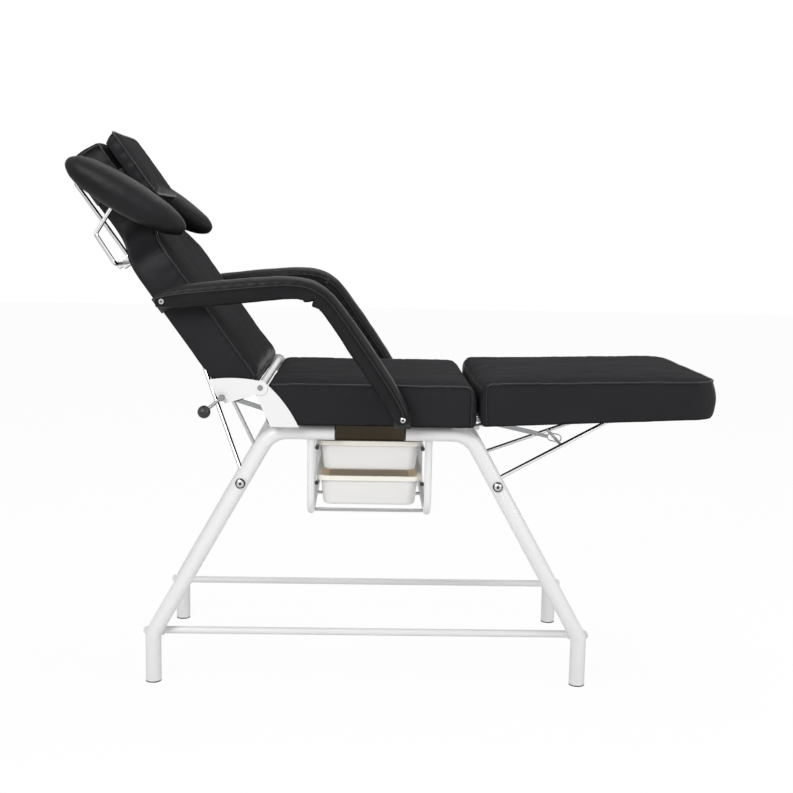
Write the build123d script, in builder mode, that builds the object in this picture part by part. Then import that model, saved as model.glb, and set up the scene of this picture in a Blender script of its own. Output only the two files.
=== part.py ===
from build123d import *
from math import asin, atan2, cos, degrees, hypot, radians, sin, tan
import os

os.makedirs("parts", exist_ok=True)

# Driving dimensions in millimetres and degrees
# X runs from the head end to the foot end, Z is up, the floor is Z = 0

# Leg frame
frame_centre_x = -49.0
foot_spread = 1040.0
frame_width = 490.0
leg_tube = 38.0
leg_wall = 1.8
leg_slope = 60.7
foot_straight = 120.0
foot_bend_radius = 45.0
seat_bend_radius = 70.0
seat_tube_top = 642.0
tube_gap = 170.0
cap_sole = 3.0
plug_depth = 18.0
plug_fit = 0.2
flange_steel = 3.0
rod_fit = 0.05
side_fit = 0.3
weld_fit = 0.1
stretcher_tube = 18.0
stretcher_wall = 1.5
stretcher_height = 119.0
tab_steel = 3.0
tab_length = 34.0
tab_height = 22.0
tab_bolt = 8.0
cross_tube = 20.0
cross_height = 498.0
frame_bolt = 10.0
bolt_head = 25.0
bolt_head_rise = 6.0
bolt_grip = 26.0
small_head_rise = 4.0
socket_width = 8.0
socket_depth = 2.5

# Tray rack
rack_tube = 18.0
rack_wall = 1.5
rack_length = 282.0
rack_width = 480.0
rack_floor = 422.0
rack_bend_radius = 45.0
rack_bar = 9.0
rail_rod = 10.0
rail_cap = 6.0
upper_rim_height = 599.0
tray_pitch = 86.0
tray_rim_length = 256.0
tray_top_length = 238.0
tray_floor_length = 222.0
tray_width = 462.0
tray_floor_width = 430.0
tray_depth = 74.0
tray_wall = 2.5
tray_rim_rise = 11.0
tray_corner = 22.0
tray_floor_round = 9.0

# Seat, back and leg rest
cushion_width = 596.0
board_inset = 8.0
board_thickness = 15.0
foam_depth = 96.0
back_foam_depth = 86.0
crown_rise = 21.0
edge_round = 26.0
cushion_corner = 30.0
side_pinch = 6.0
flat_bow = 0.4
seam_cord = 4.0
seat_rear_reach = 244.0
seat_front_reach = 248.0
recline_reach = 258.0
recline_rise = 92.0
recline_tube = 20.0
back_angle = 54.0
back_start = 14.0
back_length = 686.0
back_underside = 82.0
shoulder_length = 170.0
head_length = 180.0
head_width = 304.0
head_corner = 55.0
leg_hinge_reach = 255.0
leg_hinge_drop = 1.0
leg_rest_angle = 2.8
leg_rest_start = 8.0
leg_rest_length = 559.0
leg_rest_rise = 6.0
leg_rest_end_corner = 62.0
knuckle = 10.0
hinge_pin = 6.0
hinge_leaf_length = 60.0
hinge_width = 36.0

# Recline plates
plate_steel = 3.0
plate_clear = 1.0
plate_fit = 0.3
plate_lobe = 17.0
pivot_pin = 8.0
pivot_head = 13.0
pivot_head_rise = 1.2
back_plate_reach = 86.0
back_plate_drop = 94.0
seat_plate_reach = 90.0
plate_flange_in = 60.0
small_bolt = 6.0
small_bolt_head = 12.0
screw_clear = 8.0

# Support frames and ratchet stays
support_length = 400.0
support_rod = 10.0
support_half_width = 185.0
support_apex_half = 43.0
support_eye = 32.0
support_eye_width = 14.0
stay_bar_place = 190.0
stay_bar = 8.0
stay_pivot_drop = 17.0
back_stay_reach = 235.0
leg_stay_reach = 242.0
stay_rack_height = 9.0
stay_rack_steel = 4.0
stay_case_steel = 1.5
stay_case_height = 11.0
stay_gap = 0.5
back_case_length = 130.0
back_case_tail = 44.0
leg_case_length = 200.0
leg_case_tail = 6.0
back_rack_length = 200.0
leg_rack_length = 226.0
back_slot_length = 22.0
leg_slot_length = 34.0
rack_eye_height = 22.0
tooth_pitch = 12.0
tooth_depth = 3.2
tooth_count = 8
stay_pin = 8.0
stay_foot_length = 30.0
stay_foot_margin = 10.0
stay_ear_round = 10.0
stay_ear_neck = 7.0
ear_steel = 2.5

# Release lever
lever_rod = 8.0
lever_length = 49.0
lever_angle = 219.0
knob_y = 330.0
lever_pin = 6.0
knob_diameter = 30.0
lever_hub = 14.0
lever_hub_width = 14.0
lever_place_u = 33.0
lever_place_v = 86.0

# Armrests
arm_gap = 1.5
arm_pad_width = 50.0
arm_bar_steel = 5.0
arm_bar_height = 24.0
arm_joint_round = 24.0
arm_joint_fit = 0.6
elbow_pin = 10.0
elbow_head = 16.0
elbow_head_rise = 2.0
arm_bolt = 8.0
arm_bolt_head = 16.0
arm_spacer = 14.0
arm_bolt_fit = 0.5
elbow_x = -127.0
elbow_rise = 226.0
arm_foot_x = 74.0
arm_foot_rise = 29.0
arm_back_place_u = 290.5
arm_back_place_v = 59.6
arm_bracket_width = 40.0

# The armrest's side outline, X and Z from its elbow
arm_top_line = (
    (-367.0, -16.0),
    (-313.0, 10.0),
    (-218.0, 24.0),
    (-128.0, 33.0),
    (-61.0, 36.0),
    (-15.0, 29.0),
)
arm_outer_line = (
    (16.0, 13.0),
    (53.0, -20.0),
    (122.0, -116.0),
    (183.0, -207.0),
    (214.0, -265.0),
    (218.0, -305.0),
)
arm_inner_line = ((187.0, -304.0), (171.0, -270.0), (77.0, -138.0), (22.0, -54.0), (-24.0, -21.0))
arm_under_line = ((-65.0, -16.0), (-164.0, -26.0), (-263.0, -38.0), (-362.0, -41.0))

# Head pillow, arm pads and their rails
pillow_width = 310.0
pillow_length = 200.0
pillow_depth = 32.0
pillow_margin = 8.0
pillow_corner = 12.0
pillow_ridge = 22.0
strap_width = 40.0
strap_steel = 2.0
rail_rod_half = 120.0
rail_length = 263.0
rail_margin = 45.0
rail_stand_off = 18.0
rail_bend_radius = 12.0
pad_half_spread = 243.0
pad_length = 313.0
pad_thickness = 87.0
pad_drop = 158.0
pad_place_v = 4.2
pad_tilt = 24.3
holder_rod = 10.0
holder_bend_radius = 12.0
holder_pivot_drop = 272.0
holder_pivot_v = 115.0
holder_knee_drop = 190.0
holder_knee_v = 111.0
holder_end_drop = 159.0
holder_end_v = 34.0
clamp_length = 26.0
clamp_width = 26.0
clamp_cover = 8.0
wing_bolt = 6.0
wing_collar = 12.0
wing_span = 28.0
wing_height = 12.0
wing_steel = 3.0
rod_round = 4.0

# Shares used by the outlines
dome_share = 0.94
dome_top_share = 0.5
rim_share = 0.33
seat_heel_share = 0.27
seat_bow_shares = (0.63, 0.4)
seat_brow_shares = (0.75, 0.6)
seat_neck_shares = (0.8, 0.6)
back_tip_share = 0.95
back_corner_share = 0.48
back_heel_shares = (0.2, 0.93)
back_bow_shares = (0.7, 0.48)
back_brow_shares = (0.7, 0.6)
back_neck_shares = (0.5, 0.85)
back_flange_shares = (0.22, 0.7)
seat_screw_shares = (0.45, 0.85)
back_screw_shares = (0.35, 0.8)
crown_rise_shares = (0.0, 0.45, 0.8, 1.0)
crown_inset_shares = (0.0, 0.22, 0.85, 2.0)
pillow_level_shares = ((0.0, 0.35), (0.12, 0.0), (0.72, 0.0), (0.93, 0.7), (1.0, 2.0))

pad_profile_shares = (
    (-0.5, 0.14),
    (-0.47, 0.4),
    (-0.38, 0.68),
    (-0.22, 0.88),
    (0.05, 1.0),
    (0.26, 0.9),
    (0.4, 0.68),
    (0.48, 0.36),
    (0.5, 0.14),
)

# Places worked out from the driving dimensions
recline_height = seat_tube_top + recline_rise
elbow_height = recline_height + elbow_rise
arm_foot_height = seat_tube_top + arm_foot_rise
head_end = back_start + back_length
shoulder_end = head_end - head_length
shoulder_start = shoulder_end - shoulder_length
pillow_place = head_end - pillow_margin - pillow_length
rail_end = head_end - rail_margin
rail_start = rail_end - rail_length
pad_place_u = head_end - pad_drop
holder_pivot_u = head_end - holder_pivot_drop
holder_knee_u = head_end - holder_knee_drop
holder_end_u = head_end - holder_end_drop
leg_tube_z = seat_tube_top - leg_tube / 2
leg_y = frame_width / 2
leg_inner_y = leg_y - leg_tube / 2
foot_x = foot_spread / 2
knee_run = (leg_tube_z - foot_straight) / tan(radians(leg_slope))
cross_x = foot_x - (cross_height - foot_straight) / tan(radians(leg_slope))
board_under_z = seat_tube_top + flange_steel
cushion_half = cushion_width / 2
seat_plate_y = cushion_half + plate_clear
plate_screw_y = leg_y + leg_tube / 2 + screw_clear
back_plate_y = seat_plate_y + plate_steel + plate_fit
arm_inner_y = back_plate_y + plate_steel + arm_gap
recline_x = frame_centre_x - recline_reach
leg_hinge_x = frame_centre_x + leg_hinge_reach
leg_hinge_z = seat_tube_top - leg_hinge_drop
back_sin = sin(radians(back_angle))
back_cos = cos(radians(back_angle))
rest_sin = sin(radians(leg_rest_angle))
rest_cos = cos(radians(leg_rest_angle))


def back_point(u, y, v):
    """A point of the back: u up along it, v out of its front, from the recline axis."""
    x = recline_x - u * back_cos + v * back_sin
    return Vector(x, y, recline_height + u * back_sin + v * back_cos)


def rest_point(s, y, w):
    """A point of the leg rest: s along it and w above it, from its hinge axis."""
    return Vector(leg_hinge_x + s * rest_cos - w * rest_sin, y, leg_hinge_z + s * rest_sin + w * rest_cos)


back_up = Vector(-back_cos, 0, back_sin)
back_front = Vector(back_sin, 0, back_cos)
rest_along = Vector(rest_cos, 0, rest_sin)
rest_up = Vector(-rest_sin, 0, rest_cos)


def back_level(v):
    """A sketch plane in the back's own face, v in front of the recline axis."""
    return Plane(back_point(0, 0, v), x_dir=back_up, z_dir=back_front)


def rest_level(w):
    """A sketch plane along the leg rest, w above its hinge axis."""
    return Plane(rest_point(0, 0, w), x_dir=rest_along, z_dir=rest_up)


def side_plane(y, x=0, z=0):
    """An upright sketch plane seen from the right-hand side, its normal along -Y."""
    return Plane((x, y, z), x_dir=(1, 0, 0), z_dir=(0, -1, 0))


def back_side_plane(y, u=0, v=0):
    """The back's side view plane: its x is u, its y is v, its normal along +Y."""
    return Plane(back_point(u, y, v), x_dir=back_up, z_dir=(0, 1, 0))


def save(solid, name):
    solid.label = name
    export_step(solid, f"parts/{name}.step")


def save_pair(solid, name):
    """The right-hand piece at -Y, and its mirror image on the left."""
    with BuildPart() as twin:
        mirror(solid, about=Plane.XZ)
    save(solid, name + "_right")
    save(twin.part, name + "_left")


def save_twins(solid, name):
    """Both sides' pieces in one node, mirrored about the chair's middle plane."""
    with BuildPart() as twins:
        add(solid)
        mirror(solid, about=Plane.XZ)
    save(twins.part, name)


def bent_tube(points, radii, diameter, wall=0):
    """A round tube or rod along straight runs with tangent bends."""
    with BuildPart() as tube:
        with BuildLine() as path:
            FilletPolyline(*points, radius=radii)
        with BuildSketch(Plane(path.line @ 0, z_dir=path.line % 0)):
            Circle(diameter / 2)
            if wall:
                Circle(diameter / 2 - wall, mode=Mode.SUBTRACT)
        sweep()
    return tube.part


def straight_rod(start, end, diameter, bore=0):
    with BuildPart() as rod:
        with BuildSketch(Plane(start, z_dir=end - start)):
            Circle(diameter / 2)
            if bore:
                Circle(bore / 2, mode=Mode.SUBTRACT)
        extrude(amount=(end - start).length)
    return rod.part


def domed_bolt(origin, direction, shank, head, rise, length):
    """A truss-head bolt with a hexagon socket, its head's seat at origin."""
    seat = Plane(origin, z_dir=direction)
    with BuildPart() as bolt:
        with BuildSketch(seat):
            Circle(shank / 2)
        extrude(amount=-length)
        with BuildSketch(seat):
            Circle(head / 2)
        with BuildSketch(seat.offset(rise / 2)):
            Circle(head / 2 * dome_share)
        with BuildSketch(seat.offset(rise)):
            Circle(head / 2 * dome_top_share)
        loft(ruled=True)
        with BuildSketch(seat.offset(rise)):
            RegularPolygon(socket_width / 2 * head / bolt_head, 6)
        extrude(amount=-socket_depth * rise / bolt_head_rise, mode=Mode.SUBTRACT)
    return bolt.part


def export_group(solids, name):
    with BuildPart() as group:
        for solid in solids:
            add(solid)
    save(group.part, name)


# Leg frame: four bent legs, cross tubes and side stretchers


def leg(end):
    """A bent leg on the right-hand side; end is -1 at the head and 1 at the foot end."""
    x_foot = frame_centre_x + end * foot_x
    points = [
        (x_foot, -leg_y, cap_sole),
        (x_foot, -leg_y, foot_straight),
        (x_foot - end * knee_run, -leg_y, leg_tube_z),
        (frame_centre_x + end * tube_gap / 2, -leg_y, leg_tube_z),
    ]
    tube = bent_tube(points, [foot_bend_radius, seat_bend_radius], leg_tube, leg_wall)
    with BuildPart() as drilled:
        add(tube)
        with BuildSketch(side_plane(0, frame_centre_x + end * cross_x, cross_height)):
            Circle(frame_bolt / 2 + rod_fit)
        extrude(amount=frame_width, mode=Mode.SUBTRACT)
        with BuildSketch(side_plane(0, tab_bolt_x(end), stretcher_height)):
            Circle(tab_bolt / 2 + rod_fit)
        extrude(amount=leg_y, mode=Mode.SUBTRACT)
    return drilled.part


def tab_bolt_x(end):
    """Where a stretcher's bolt meets the middle of the leg, on its lower bend."""
    return frame_centre_x + end * foot_x


def end_plug(seat, sole):
    """A plug pushed into a leg tube's open end, with a flat sole outside."""
    with BuildPart() as plug:
        with BuildSketch(seat):
            Circle(leg_tube / 2)
        extrude(amount=-sole)
        with BuildSketch(seat):
            Circle(leg_tube / 2 - leg_wall - plug_fit)
        extrude(amount=plug_depth)
    return plug.part


def make_leg_frame():
    caps = []
    for name, end in (("head_legs", -1), ("foot_legs", 1)):
        save_twins(leg(end), name)
        for side in (-1, 1):
            seat = Plane((frame_centre_x + end * foot_x, side * leg_y, cap_sole))
            caps.append(end_plug(seat, cap_sole))
            inner = (frame_centre_x + end * tube_gap / 2, side * leg_y, leg_tube_z)
            caps.append(end_plug(Plane(inner, z_dir=(end, 0, 0)), cap_sole))
    export_group(caps, "tube_caps")


def make_cross_tubes():
    tubes = []
    bolts = []
    for end in (-1, 1):
        x = frame_centre_x + end * cross_x
        start = Vector(x, -leg_inner_y, cross_height)
        finish = Vector(x, leg_inner_y, cross_height)
        tubes.append(straight_rod(start, finish, cross_tube, frame_bolt + 2 * rod_fit))
        for side in (-1, 1):
            seat = (x, side * (leg_y + leg_tube / 2), cross_height)
            grip = leg_tube + bolt_grip
            bolts.append(domed_bolt(seat, (0, side, 0), frame_bolt, bolt_head, bolt_head_rise, grip))
    export_group(tubes, "cross_tubes")
    export_group(bolts, "frame_bolts")


def make_stretchers():
    """Two low tubes inside the legs, with flat tabs bolted to the feet."""
    tube_y = leg_inner_y - stretcher_tube / 2
    half = foot_x - tab_length / 2
    bolts = []
    with BuildPart() as stretcher:
        with BuildSketch(Plane((frame_centre_x - half, -tube_y, stretcher_height), z_dir=(1, 0, 0))):
            Circle(stretcher_tube / 2)
            Circle(stretcher_tube / 2 - stretcher_wall, mode=Mode.SUBTRACT)
        extrude(amount=2 * half)
        for end in (-1, 1):
            with BuildSketch(side_plane(-leg_inner_y + tab_steel, tab_bolt_x(end), stretcher_height)):
                SlotCenterToCenter(tab_length, tab_height)
                Circle(tab_bolt / 2 + rod_fit, mode=Mode.SUBTRACT)
            extrude(amount=tab_steel)
    save_twins(stretcher.part, "side_stretchers")
    for end in (-1, 1):
        for side in (-1, 1):
            seat = (tab_bolt_x(end), side * (leg_inner_y - tab_steel), stretcher_height)
            grip = tab_steel + leg_tube / 2
            bolts.append(domed_bolt(seat, (0, -side, 0), tab_bolt, arm_bolt_head, small_head_rise, grip))
    export_group(bolts, "stretcher_bolts")


# Tray rack: two hoops under the seat tubes, bars, rails and two trays


def rack_hoop(end):
    x = frame_centre_x + end * (rack_length / 2)
    half = rack_width / 2
    points = [
        (x, -half, leg_tube_z),
        (x, -half, rack_floor),
        (x, half, rack_floor),
        (x, half, leg_tube_z),
    ]
    hoop = bent_tube(points, rack_bend_radius, rack_tube, rack_wall)
    with BuildPart() as coped:
        add(hoop)
        for side in (-1, 1):
            with BuildSketch(Plane((x - rack_tube, side * leg_y, leg_tube_z), z_dir=(1, 0, 0))):
                Circle(leg_tube / 2 + weld_fit)
            extrude(amount=2 * rack_tube, mode=Mode.SUBTRACT)
    solids = coped.part.solids().sort_by(SortBy.VOLUME)
    return solids[-1]


def make_rack():
    export_group([rack_hoop(-1), rack_hoop(1)], "rack_hoops")
    inside = rack_length / 2 - rack_tube / 2
    bars = []
    bar_half = rack_width / 2 - rack_bend_radius
    for y in (-bar_half, 0, bar_half):
        start = Vector(frame_centre_x - inside, y, rack_floor)
        bars.append(straight_rod(start, Vector(frame_centre_x + inside, y, rack_floor), rack_bar))
    export_group(bars, "rack_bars")
    rails = []
    caps = []
    rail_x = inside - rail_rod / 2
    rail_half = tray_width / 2
    for level in (0, 1):
        z = upper_rim_height - tray_rim_rise - level * tray_pitch - rail_rod / 2 - side_fit
        for end in (-1, 1):
            x = frame_centre_x + end * rail_x
            rails.append(straight_rod(Vector(x, -rail_half, z), Vector(x, rail_half, z), rail_rod))
            for side in (-1, 1):
                seat = Vector(x, side * rail_half, z)
                caps.append(straight_rod(seat, seat + Vector(0, side * rail_cap, 0), rail_rod))
    export_group(rails, "tray_rails")
    export_group(caps, "rail_caps")


def tray(level):
    """A moulded tray with sloping walls and a rim that runs on the two rails."""
    rim_z = upper_rim_height - level * tray_pitch
    under_rim = Plane((frame_centre_x, 0, rim_z - tray_rim_rise))
    floor_z = rim_z - tray_depth
    with BuildPart() as body:
        with BuildSketch(Plane((frame_centre_x, 0, floor_z))):
            RectangleRounded(tray_floor_length, tray_floor_width, tray_corner)
        with BuildSketch(Plane((frame_centre_x, 0, rim_z))):
            RectangleRounded(tray_top_length, tray_width - 2 * tray_wall, tray_corner)
        loft(ruled=True)
        fillet(body.faces().sort_by(Axis.Z)[0].edges(), tray_floor_round)
        with BuildSketch(under_rim):
            RectangleRounded(tray_rim_length, tray_width, tray_corner)
        extrude(amount=tray_rim_rise)
        with BuildSketch(under_rim):
            RectangleRounded(
                tray_rim_length - 2 * tray_wall, tray_width - 2 * tray_wall, tray_corner - tray_wall
            )
            RectangleRounded(
                tray_top_length, tray_width - 4 * tray_wall, tray_corner, mode=Mode.SUBTRACT
            )
        extrude(amount=tray_rim_rise - tray_wall, mode=Mode.SUBTRACT)
        inner_top = tray_top_length - 2 * tray_wall
        inner_floor = tray_floor_length - 2 * tray_wall
        with BuildSketch(Plane((frame_centre_x, 0, floor_z + tray_wall))):
            RectangleRounded(inner_floor, tray_floor_width - 2 * tray_wall, tray_corner - tray_wall)
        with BuildSketch(Plane((frame_centre_x, 0, rim_z))):
            RectangleRounded(inner_top, tray_width - 4 * tray_wall, tray_corner - tray_wall)
        loft(ruled=True, mode=Mode.SUBTRACT)
    return body.part


# Cushions and boards


def seat_outline(plane, inset, draw_in):
    pinch = draw_in + flat_bow
    low = frame_centre_x - seat_rear_reach + inset
    high = frame_centre_x + seat_front_reach - inset
    half = cushion_half - inset
    middle = (low + high) / 2
    with BuildSketch(plane) as outline:
        with BuildLine():
            ThreePointArc((low, -half), (middle, -half + pinch), (high, -half))
            ThreePointArc((high, -half), (high - pinch, 0), (high, half))
            ThreePointArc((high, half), (middle, half - pinch), (low, half))
            ThreePointArc((low, half), (low + pinch, 0), (low, -half))
        make_face()
        fillet(outline.vertices(), cushion_corner)
    return outline.sketch


def rest_outline(plane, inset, draw_in):
    pinch = draw_in + flat_bow
    low = leg_rest_start + inset
    high = leg_rest_start + leg_rest_length - inset
    half = cushion_half - inset
    middle = (low + high) / 2
    with BuildSketch(plane) as outline:
        with BuildLine():
            ThreePointArc((low, -half), (middle, -half + pinch), (high, -half))
            ThreePointArc((high, -half), (high - pinch, 0), (high, half))
            ThreePointArc((high, half), (middle, half - pinch), (low, half))
            ThreePointArc((low, half), (low + pinch, 0), (low, -half))
        make_face()
        corners = outline.vertices().sort_by(Axis.X)
        fillet(corners[:2], cushion_corner)
        fillet(outline.vertices().sort_by(Axis.X)[-2:], leg_rest_end_corner)
    return outline.sketch


def back_outline(plane, inset, draw_in):
    """The back's keyhole outline: wide at the seat, drawn in by its shoulders to the head."""
    low = back_start + inset
    high = back_start + back_length - inset
    half = cushion_half - inset - draw_in / 2
    head_half = head_width / 2 - inset - draw_in / 2
    level_ends = ((1, 0), (1, 0))
    with BuildSketch() as outline:
        with BuildLine():
            Polyline((shoulder_start, half), (low, half), (low, -half), (shoulder_start, -half))
            Spline((shoulder_start, -half), (shoulder_end, -head_half), tangents=level_ends)
            Line((shoulder_end, -head_half), (high, -head_half))
            Line((high, -head_half), (high, head_half))
            Line((high, head_half), (shoulder_end, head_half))
            Spline((shoulder_start, half), (shoulder_end, head_half), tangents=level_ends)
        make_face()
        fillet(outline.vertices().sort_by(Axis.X)[-2:], max(head_corner - inset, cushion_corner))
        fillet(outline.vertices().sort_by(Axis.X)[:2], cushion_corner)
    return plane * outline.sketch


def cushion(outline, level, under, seam, board_gap):
    """A crowned block over its board, its sides drawn in between the corners."""
    sections = [outline(level(under), seam_cord, 0), outline(level(under + seam_cord), 0, 0)]
    sections.append(outline(level((under + seam) / 2), 0, side_pinch))
    for rise_share, inset_share in zip(crown_rise_shares, crown_inset_shares):
        inset = inset_share * edge_round
        sections.append(outline(level(seam + rise_share * crown_rise), inset, side_pinch * rise_share))
    with BuildPart() as block:
        loft(sections, ruled=True)
        extrude(outline(level(under), board_gap, 0), amount=board_thickness, mode=Mode.SUBTRACT)
    return block.part


def board(outline, level, under, inset):
    with BuildPart() as sheet:
        extrude(outline(level(under), inset, 0), amount=board_thickness)
    return sheet.part


def seat_level(z):
    return Plane.XY.offset(z)


def drilled_board(solid, screws):
    """A board with the holes its screws sit in."""
    with BuildPart() as drilled:
        add(solid)
        for screw in screws:
            add(screw, mode=Mode.SUBTRACT)
    return drilled.part


def seat_screws():
    """Screws up through the seat plates' flanges into the seat board."""
    length = flange_steel + board_thickness / 2
    screws = []
    for side in (-1, 1):
        for share in seat_screw_shares:
            seat = Vector(recline_x + seat_plate_reach * share, side * plate_screw_y, seat_tube_top)
            down = Vector(0, 0, -1)
            screws.append(headed_pin(seat, down, small_bolt, length, small_bolt_head, small_head_rise))
    return screws


def back_screws():
    """Screws through the back plates' flanges into the back board."""
    length = plate_steel + board_thickness / 2
    screws = []
    for side in (-1, 1):
        for share in back_screw_shares:
            seat = back_point(back_plate_reach * share, side * plate_screw_y, -back_underside - plate_steel)
            head = (small_bolt_head, small_head_rise)
            screws.append(headed_pin(seat, -back_front, small_bolt, length, *head))
    return screws


def make_cushions():
    inset = board_inset
    seat_seam = board_under_z + foam_depth
    save(cushion(seat_outline, Plane.XY.offset, board_under_z, seat_seam, inset), "seat_cushion")
    seat_sheet = board(seat_outline, Plane.XY.offset, board_under_z, inset)
    save(drilled_board(seat_sheet, seat_screws()), "seat_board")
    back_seam = back_foam_depth - back_underside
    save(cushion(back_outline, back_level, -back_underside, back_seam, inset), "back_cushion")
    back_sheet = board(back_outline, back_level, -back_underside, inset)
    save(drilled_board(back_sheet, back_screws()), "back_board")
    rest_seam = leg_rest_rise + foam_depth
    save(cushion(rest_outline, rest_level, leg_rest_rise, rest_seam, inset), "leg_rest_cushion")
    save(board(rest_outline, rest_level, leg_rest_rise, inset), "leg_rest_board")


# Recline plates, their axle and the leg rest's hinges


def headed_pin(seat, direction, shank, length, head, rise):
    """A rivet or pin: a shank behind its seat and a flat head in front."""
    plane = Plane(seat, z_dir=direction)
    with BuildPart() as pin:
        with BuildSketch(plane):
            Circle(shank / 2)
        extrude(amount=-length)
        with BuildSketch(plane):
            Circle(head / 2)
        extrude(amount=rise)
        chamfer(pin.edges().filter_by(GeomType.CIRCLE).sort_by(Axis(seat, direction))[-1], rise * rim_share)
    return pin.part


def seat_plate():
    """The fixed plate of the recline joint, with a flange between seat tube and board."""
    drop = recline_height - seat_tube_top
    face = side_plane(-seat_plate_y, recline_x, recline_height)
    toe = (seat_plate_reach, -drop)
    heel = (seat_plate_reach * seat_heel_share, -drop)
    brow = (plate_lobe * seat_brow_shares[0], plate_lobe * seat_brow_shares[1])
    neck = (-plate_lobe * seat_neck_shares[0], -plate_lobe * seat_neck_shares[1])
    bow = (seat_plate_reach * seat_bow_shares[0], -drop * seat_bow_shares[1])
    with BuildPart() as plate:
        with BuildSketch(face):
            with BuildLine():
                ThreePointArc(brow, bow, toe)
                Polyline(toe, heel, neck, brow)
            make_face()
            Circle(plate_lobe)
            Circle(pivot_pin / 2 + rod_fit, mode=Mode.SUBTRACT)
        extrude(amount=plate_steel)
        flange_length = seat_plate_reach - heel[0]
        flange_in = seat_plate_y + plate_steel - leg_inner_y
        low = (recline_x + heel[0], -seat_plate_y - plate_steel, seat_tube_top)
        with BuildSketch(Plane(low)):
            Rectangle(flange_length, flange_in, align=(Align.MIN, Align.MIN))
        extrude(amount=flange_steel)
        for share in seat_screw_shares:
            x = recline_x + seat_plate_reach * share
            with BuildSketch(Plane((x, -plate_screw_y, seat_tube_top))):
                Circle(small_bolt / 2)
            extrude(amount=flange_steel, mode=Mode.SUBTRACT)
    return plate.part


def back_plate():
    """The moving plate of the recline joint, bent under the back board."""
    outer = -(back_plate_y + plate_steel)
    tip = (back_plate_reach, -back_plate_drop * back_tip_share)
    corner = (back_plate_reach * back_corner_share, -back_plate_drop)
    heel = (back_plate_reach * back_heel_shares[0], -back_plate_drop * back_heel_shares[1])
    neck = (-plate_lobe * back_neck_shares[0], -plate_lobe * back_neck_shares[1])
    brow = (plate_lobe * back_brow_shares[0], plate_lobe * back_brow_shares[1])
    bow = (back_plate_reach * back_bow_shares[0], -back_plate_drop * back_bow_shares[1])
    flange_from = back_plate_reach * back_flange_shares[0]
    flange_length = back_plate_reach * back_flange_shares[1]
    with BuildPart() as plate:
        with BuildSketch(back_side_plane(outer)):
            with BuildLine():
                ThreePointArc(brow, bow, tip)
                Polyline(tip, corner, heel, neck, brow)
            make_face()
            Circle(plate_lobe)
            Circle(pivot_pin / 2, mode=Mode.SUBTRACT)
        extrude(amount=plate_steel)
        under = -back_underside - plate_steel
        with BuildSketch(back_side_plane(outer, flange_from, under)):
            Rectangle(flange_length, plate_steel, align=(Align.MIN, Align.MIN))
        extrude(amount=plate_steel + plate_flange_in)
        for share in back_screw_shares:
            seat = back_point(back_plate_reach * share, -plate_screw_y, under)
            with BuildSketch(Plane(seat, z_dir=back_front)):
                Circle(small_bolt / 2)
            extrude(amount=plate_steel, mode=Mode.SUBTRACT)
        with BuildSketch(back_side_plane(outer, lever_place_u, -lever_place_v)):
            Circle(lever_pin / 2)
        extrude(amount=plate_steel, mode=Mode.SUBTRACT)
    return plate.part


def make_recline_joint():
    save_twins(seat_plate(), "seat_plates")
    save_twins(back_plate(), "back_plates")
    start = Vector(recline_x, -seat_plate_y, recline_height)
    finish = Vector(recline_x, seat_plate_y, recline_height)
    save(straight_rod(start, finish, recline_tube, pivot_pin + 2 * rod_fit), "recline_axle")
    pins = [lever_pivot()]
    for side in (-1, 1):
        outer = side * (back_plate_y + plate_steel)
        seat = Vector(recline_x, outer, recline_height)
        grip = plate_steel * 2 + plate_fit + bolt_grip
        pins.append(headed_pin(seat, (0, side, 0), pivot_pin, grip, pivot_head, pivot_head_rise))
    export_group(pins, "recline_pins")
    export_group(seat_screws(), "seat_plate_screws")
    export_group(back_screws(), "back_plate_screws")


def hinge_half(along, up, leaf_top, outer_knuckles):
    """Half a butt hinge on the right-hand leg's line: a leaf and its share of the knuckles."""
    axis_point = Vector(leg_hinge_x, 0, leg_hinge_z)
    third = hinge_width / 3
    if outer_knuckles:
        spans = ((-hinge_width / 2, -third / 2), (third / 2, hinge_width / 2))
    else:
        spans = ((-third / 2 + side_fit, third / 2 - side_fit),)
    neck = knuckle / 2 + side_fit
    base = axis_point + along * neck + up * (leaf_top - flange_steel) + Vector(0, -leg_y, 0)
    with BuildPart() as half:
        with BuildSketch(Plane(base, x_dir=along, z_dir=up)):
            Rectangle(hinge_leaf_length - neck, hinge_width, align=(Align.MIN, Align.CENTER))
        extrude(amount=flange_steel)
        for low, high in spans:
            start = axis_point + Vector(0, -leg_y + low, 0)
            with BuildSketch(Plane(start, x_dir=along, z_dir=(0, 1, 0))):
                Circle(knuckle / 2)
            extrude(amount=high - low)
            middle = Vector(0, -leg_y + (low + high) / 2, 0)
            leaf = axis_point + up * (leaf_top - flange_steel) + middle
            with BuildSketch(Plane(leaf, x_dir=along, z_dir=up)):
                Rectangle(neck, high - low, align=(Align.MIN, Align.CENTER))
            extrude(amount=flange_steel)
        with BuildSketch(Plane(axis_point + Vector(0, -leg_y - hinge_width, 0), z_dir=(0, 1, 0))):
            Circle(hinge_pin / 2 + rod_fit)
        extrude(amount=2 * hinge_width, mode=Mode.SUBTRACT)
    return half.part


def make_leg_hinges():
    fixed = hinge_half(Vector(-1, 0, 0), Vector(0, 0, 1), leg_hinge_drop + flange_steel, True)
    save_twins(fixed, "leg_hinges_fixed")
    save_twins(hinge_half(rest_along, rest_up, leg_rest_rise, False), "leg_hinges_moving")
    pins = []
    for side in (-1, 1):
        start = Vector(leg_hinge_x, side * leg_y - hinge_width / 2, leg_hinge_z)
        pins.append(straight_rod(start, start + Vector(0, hinge_width, 0), hinge_pin))
    export_group(pins, "leg_hinge_pins")


# Support frames under the back and the leg rest, with their ratchet stays


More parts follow.
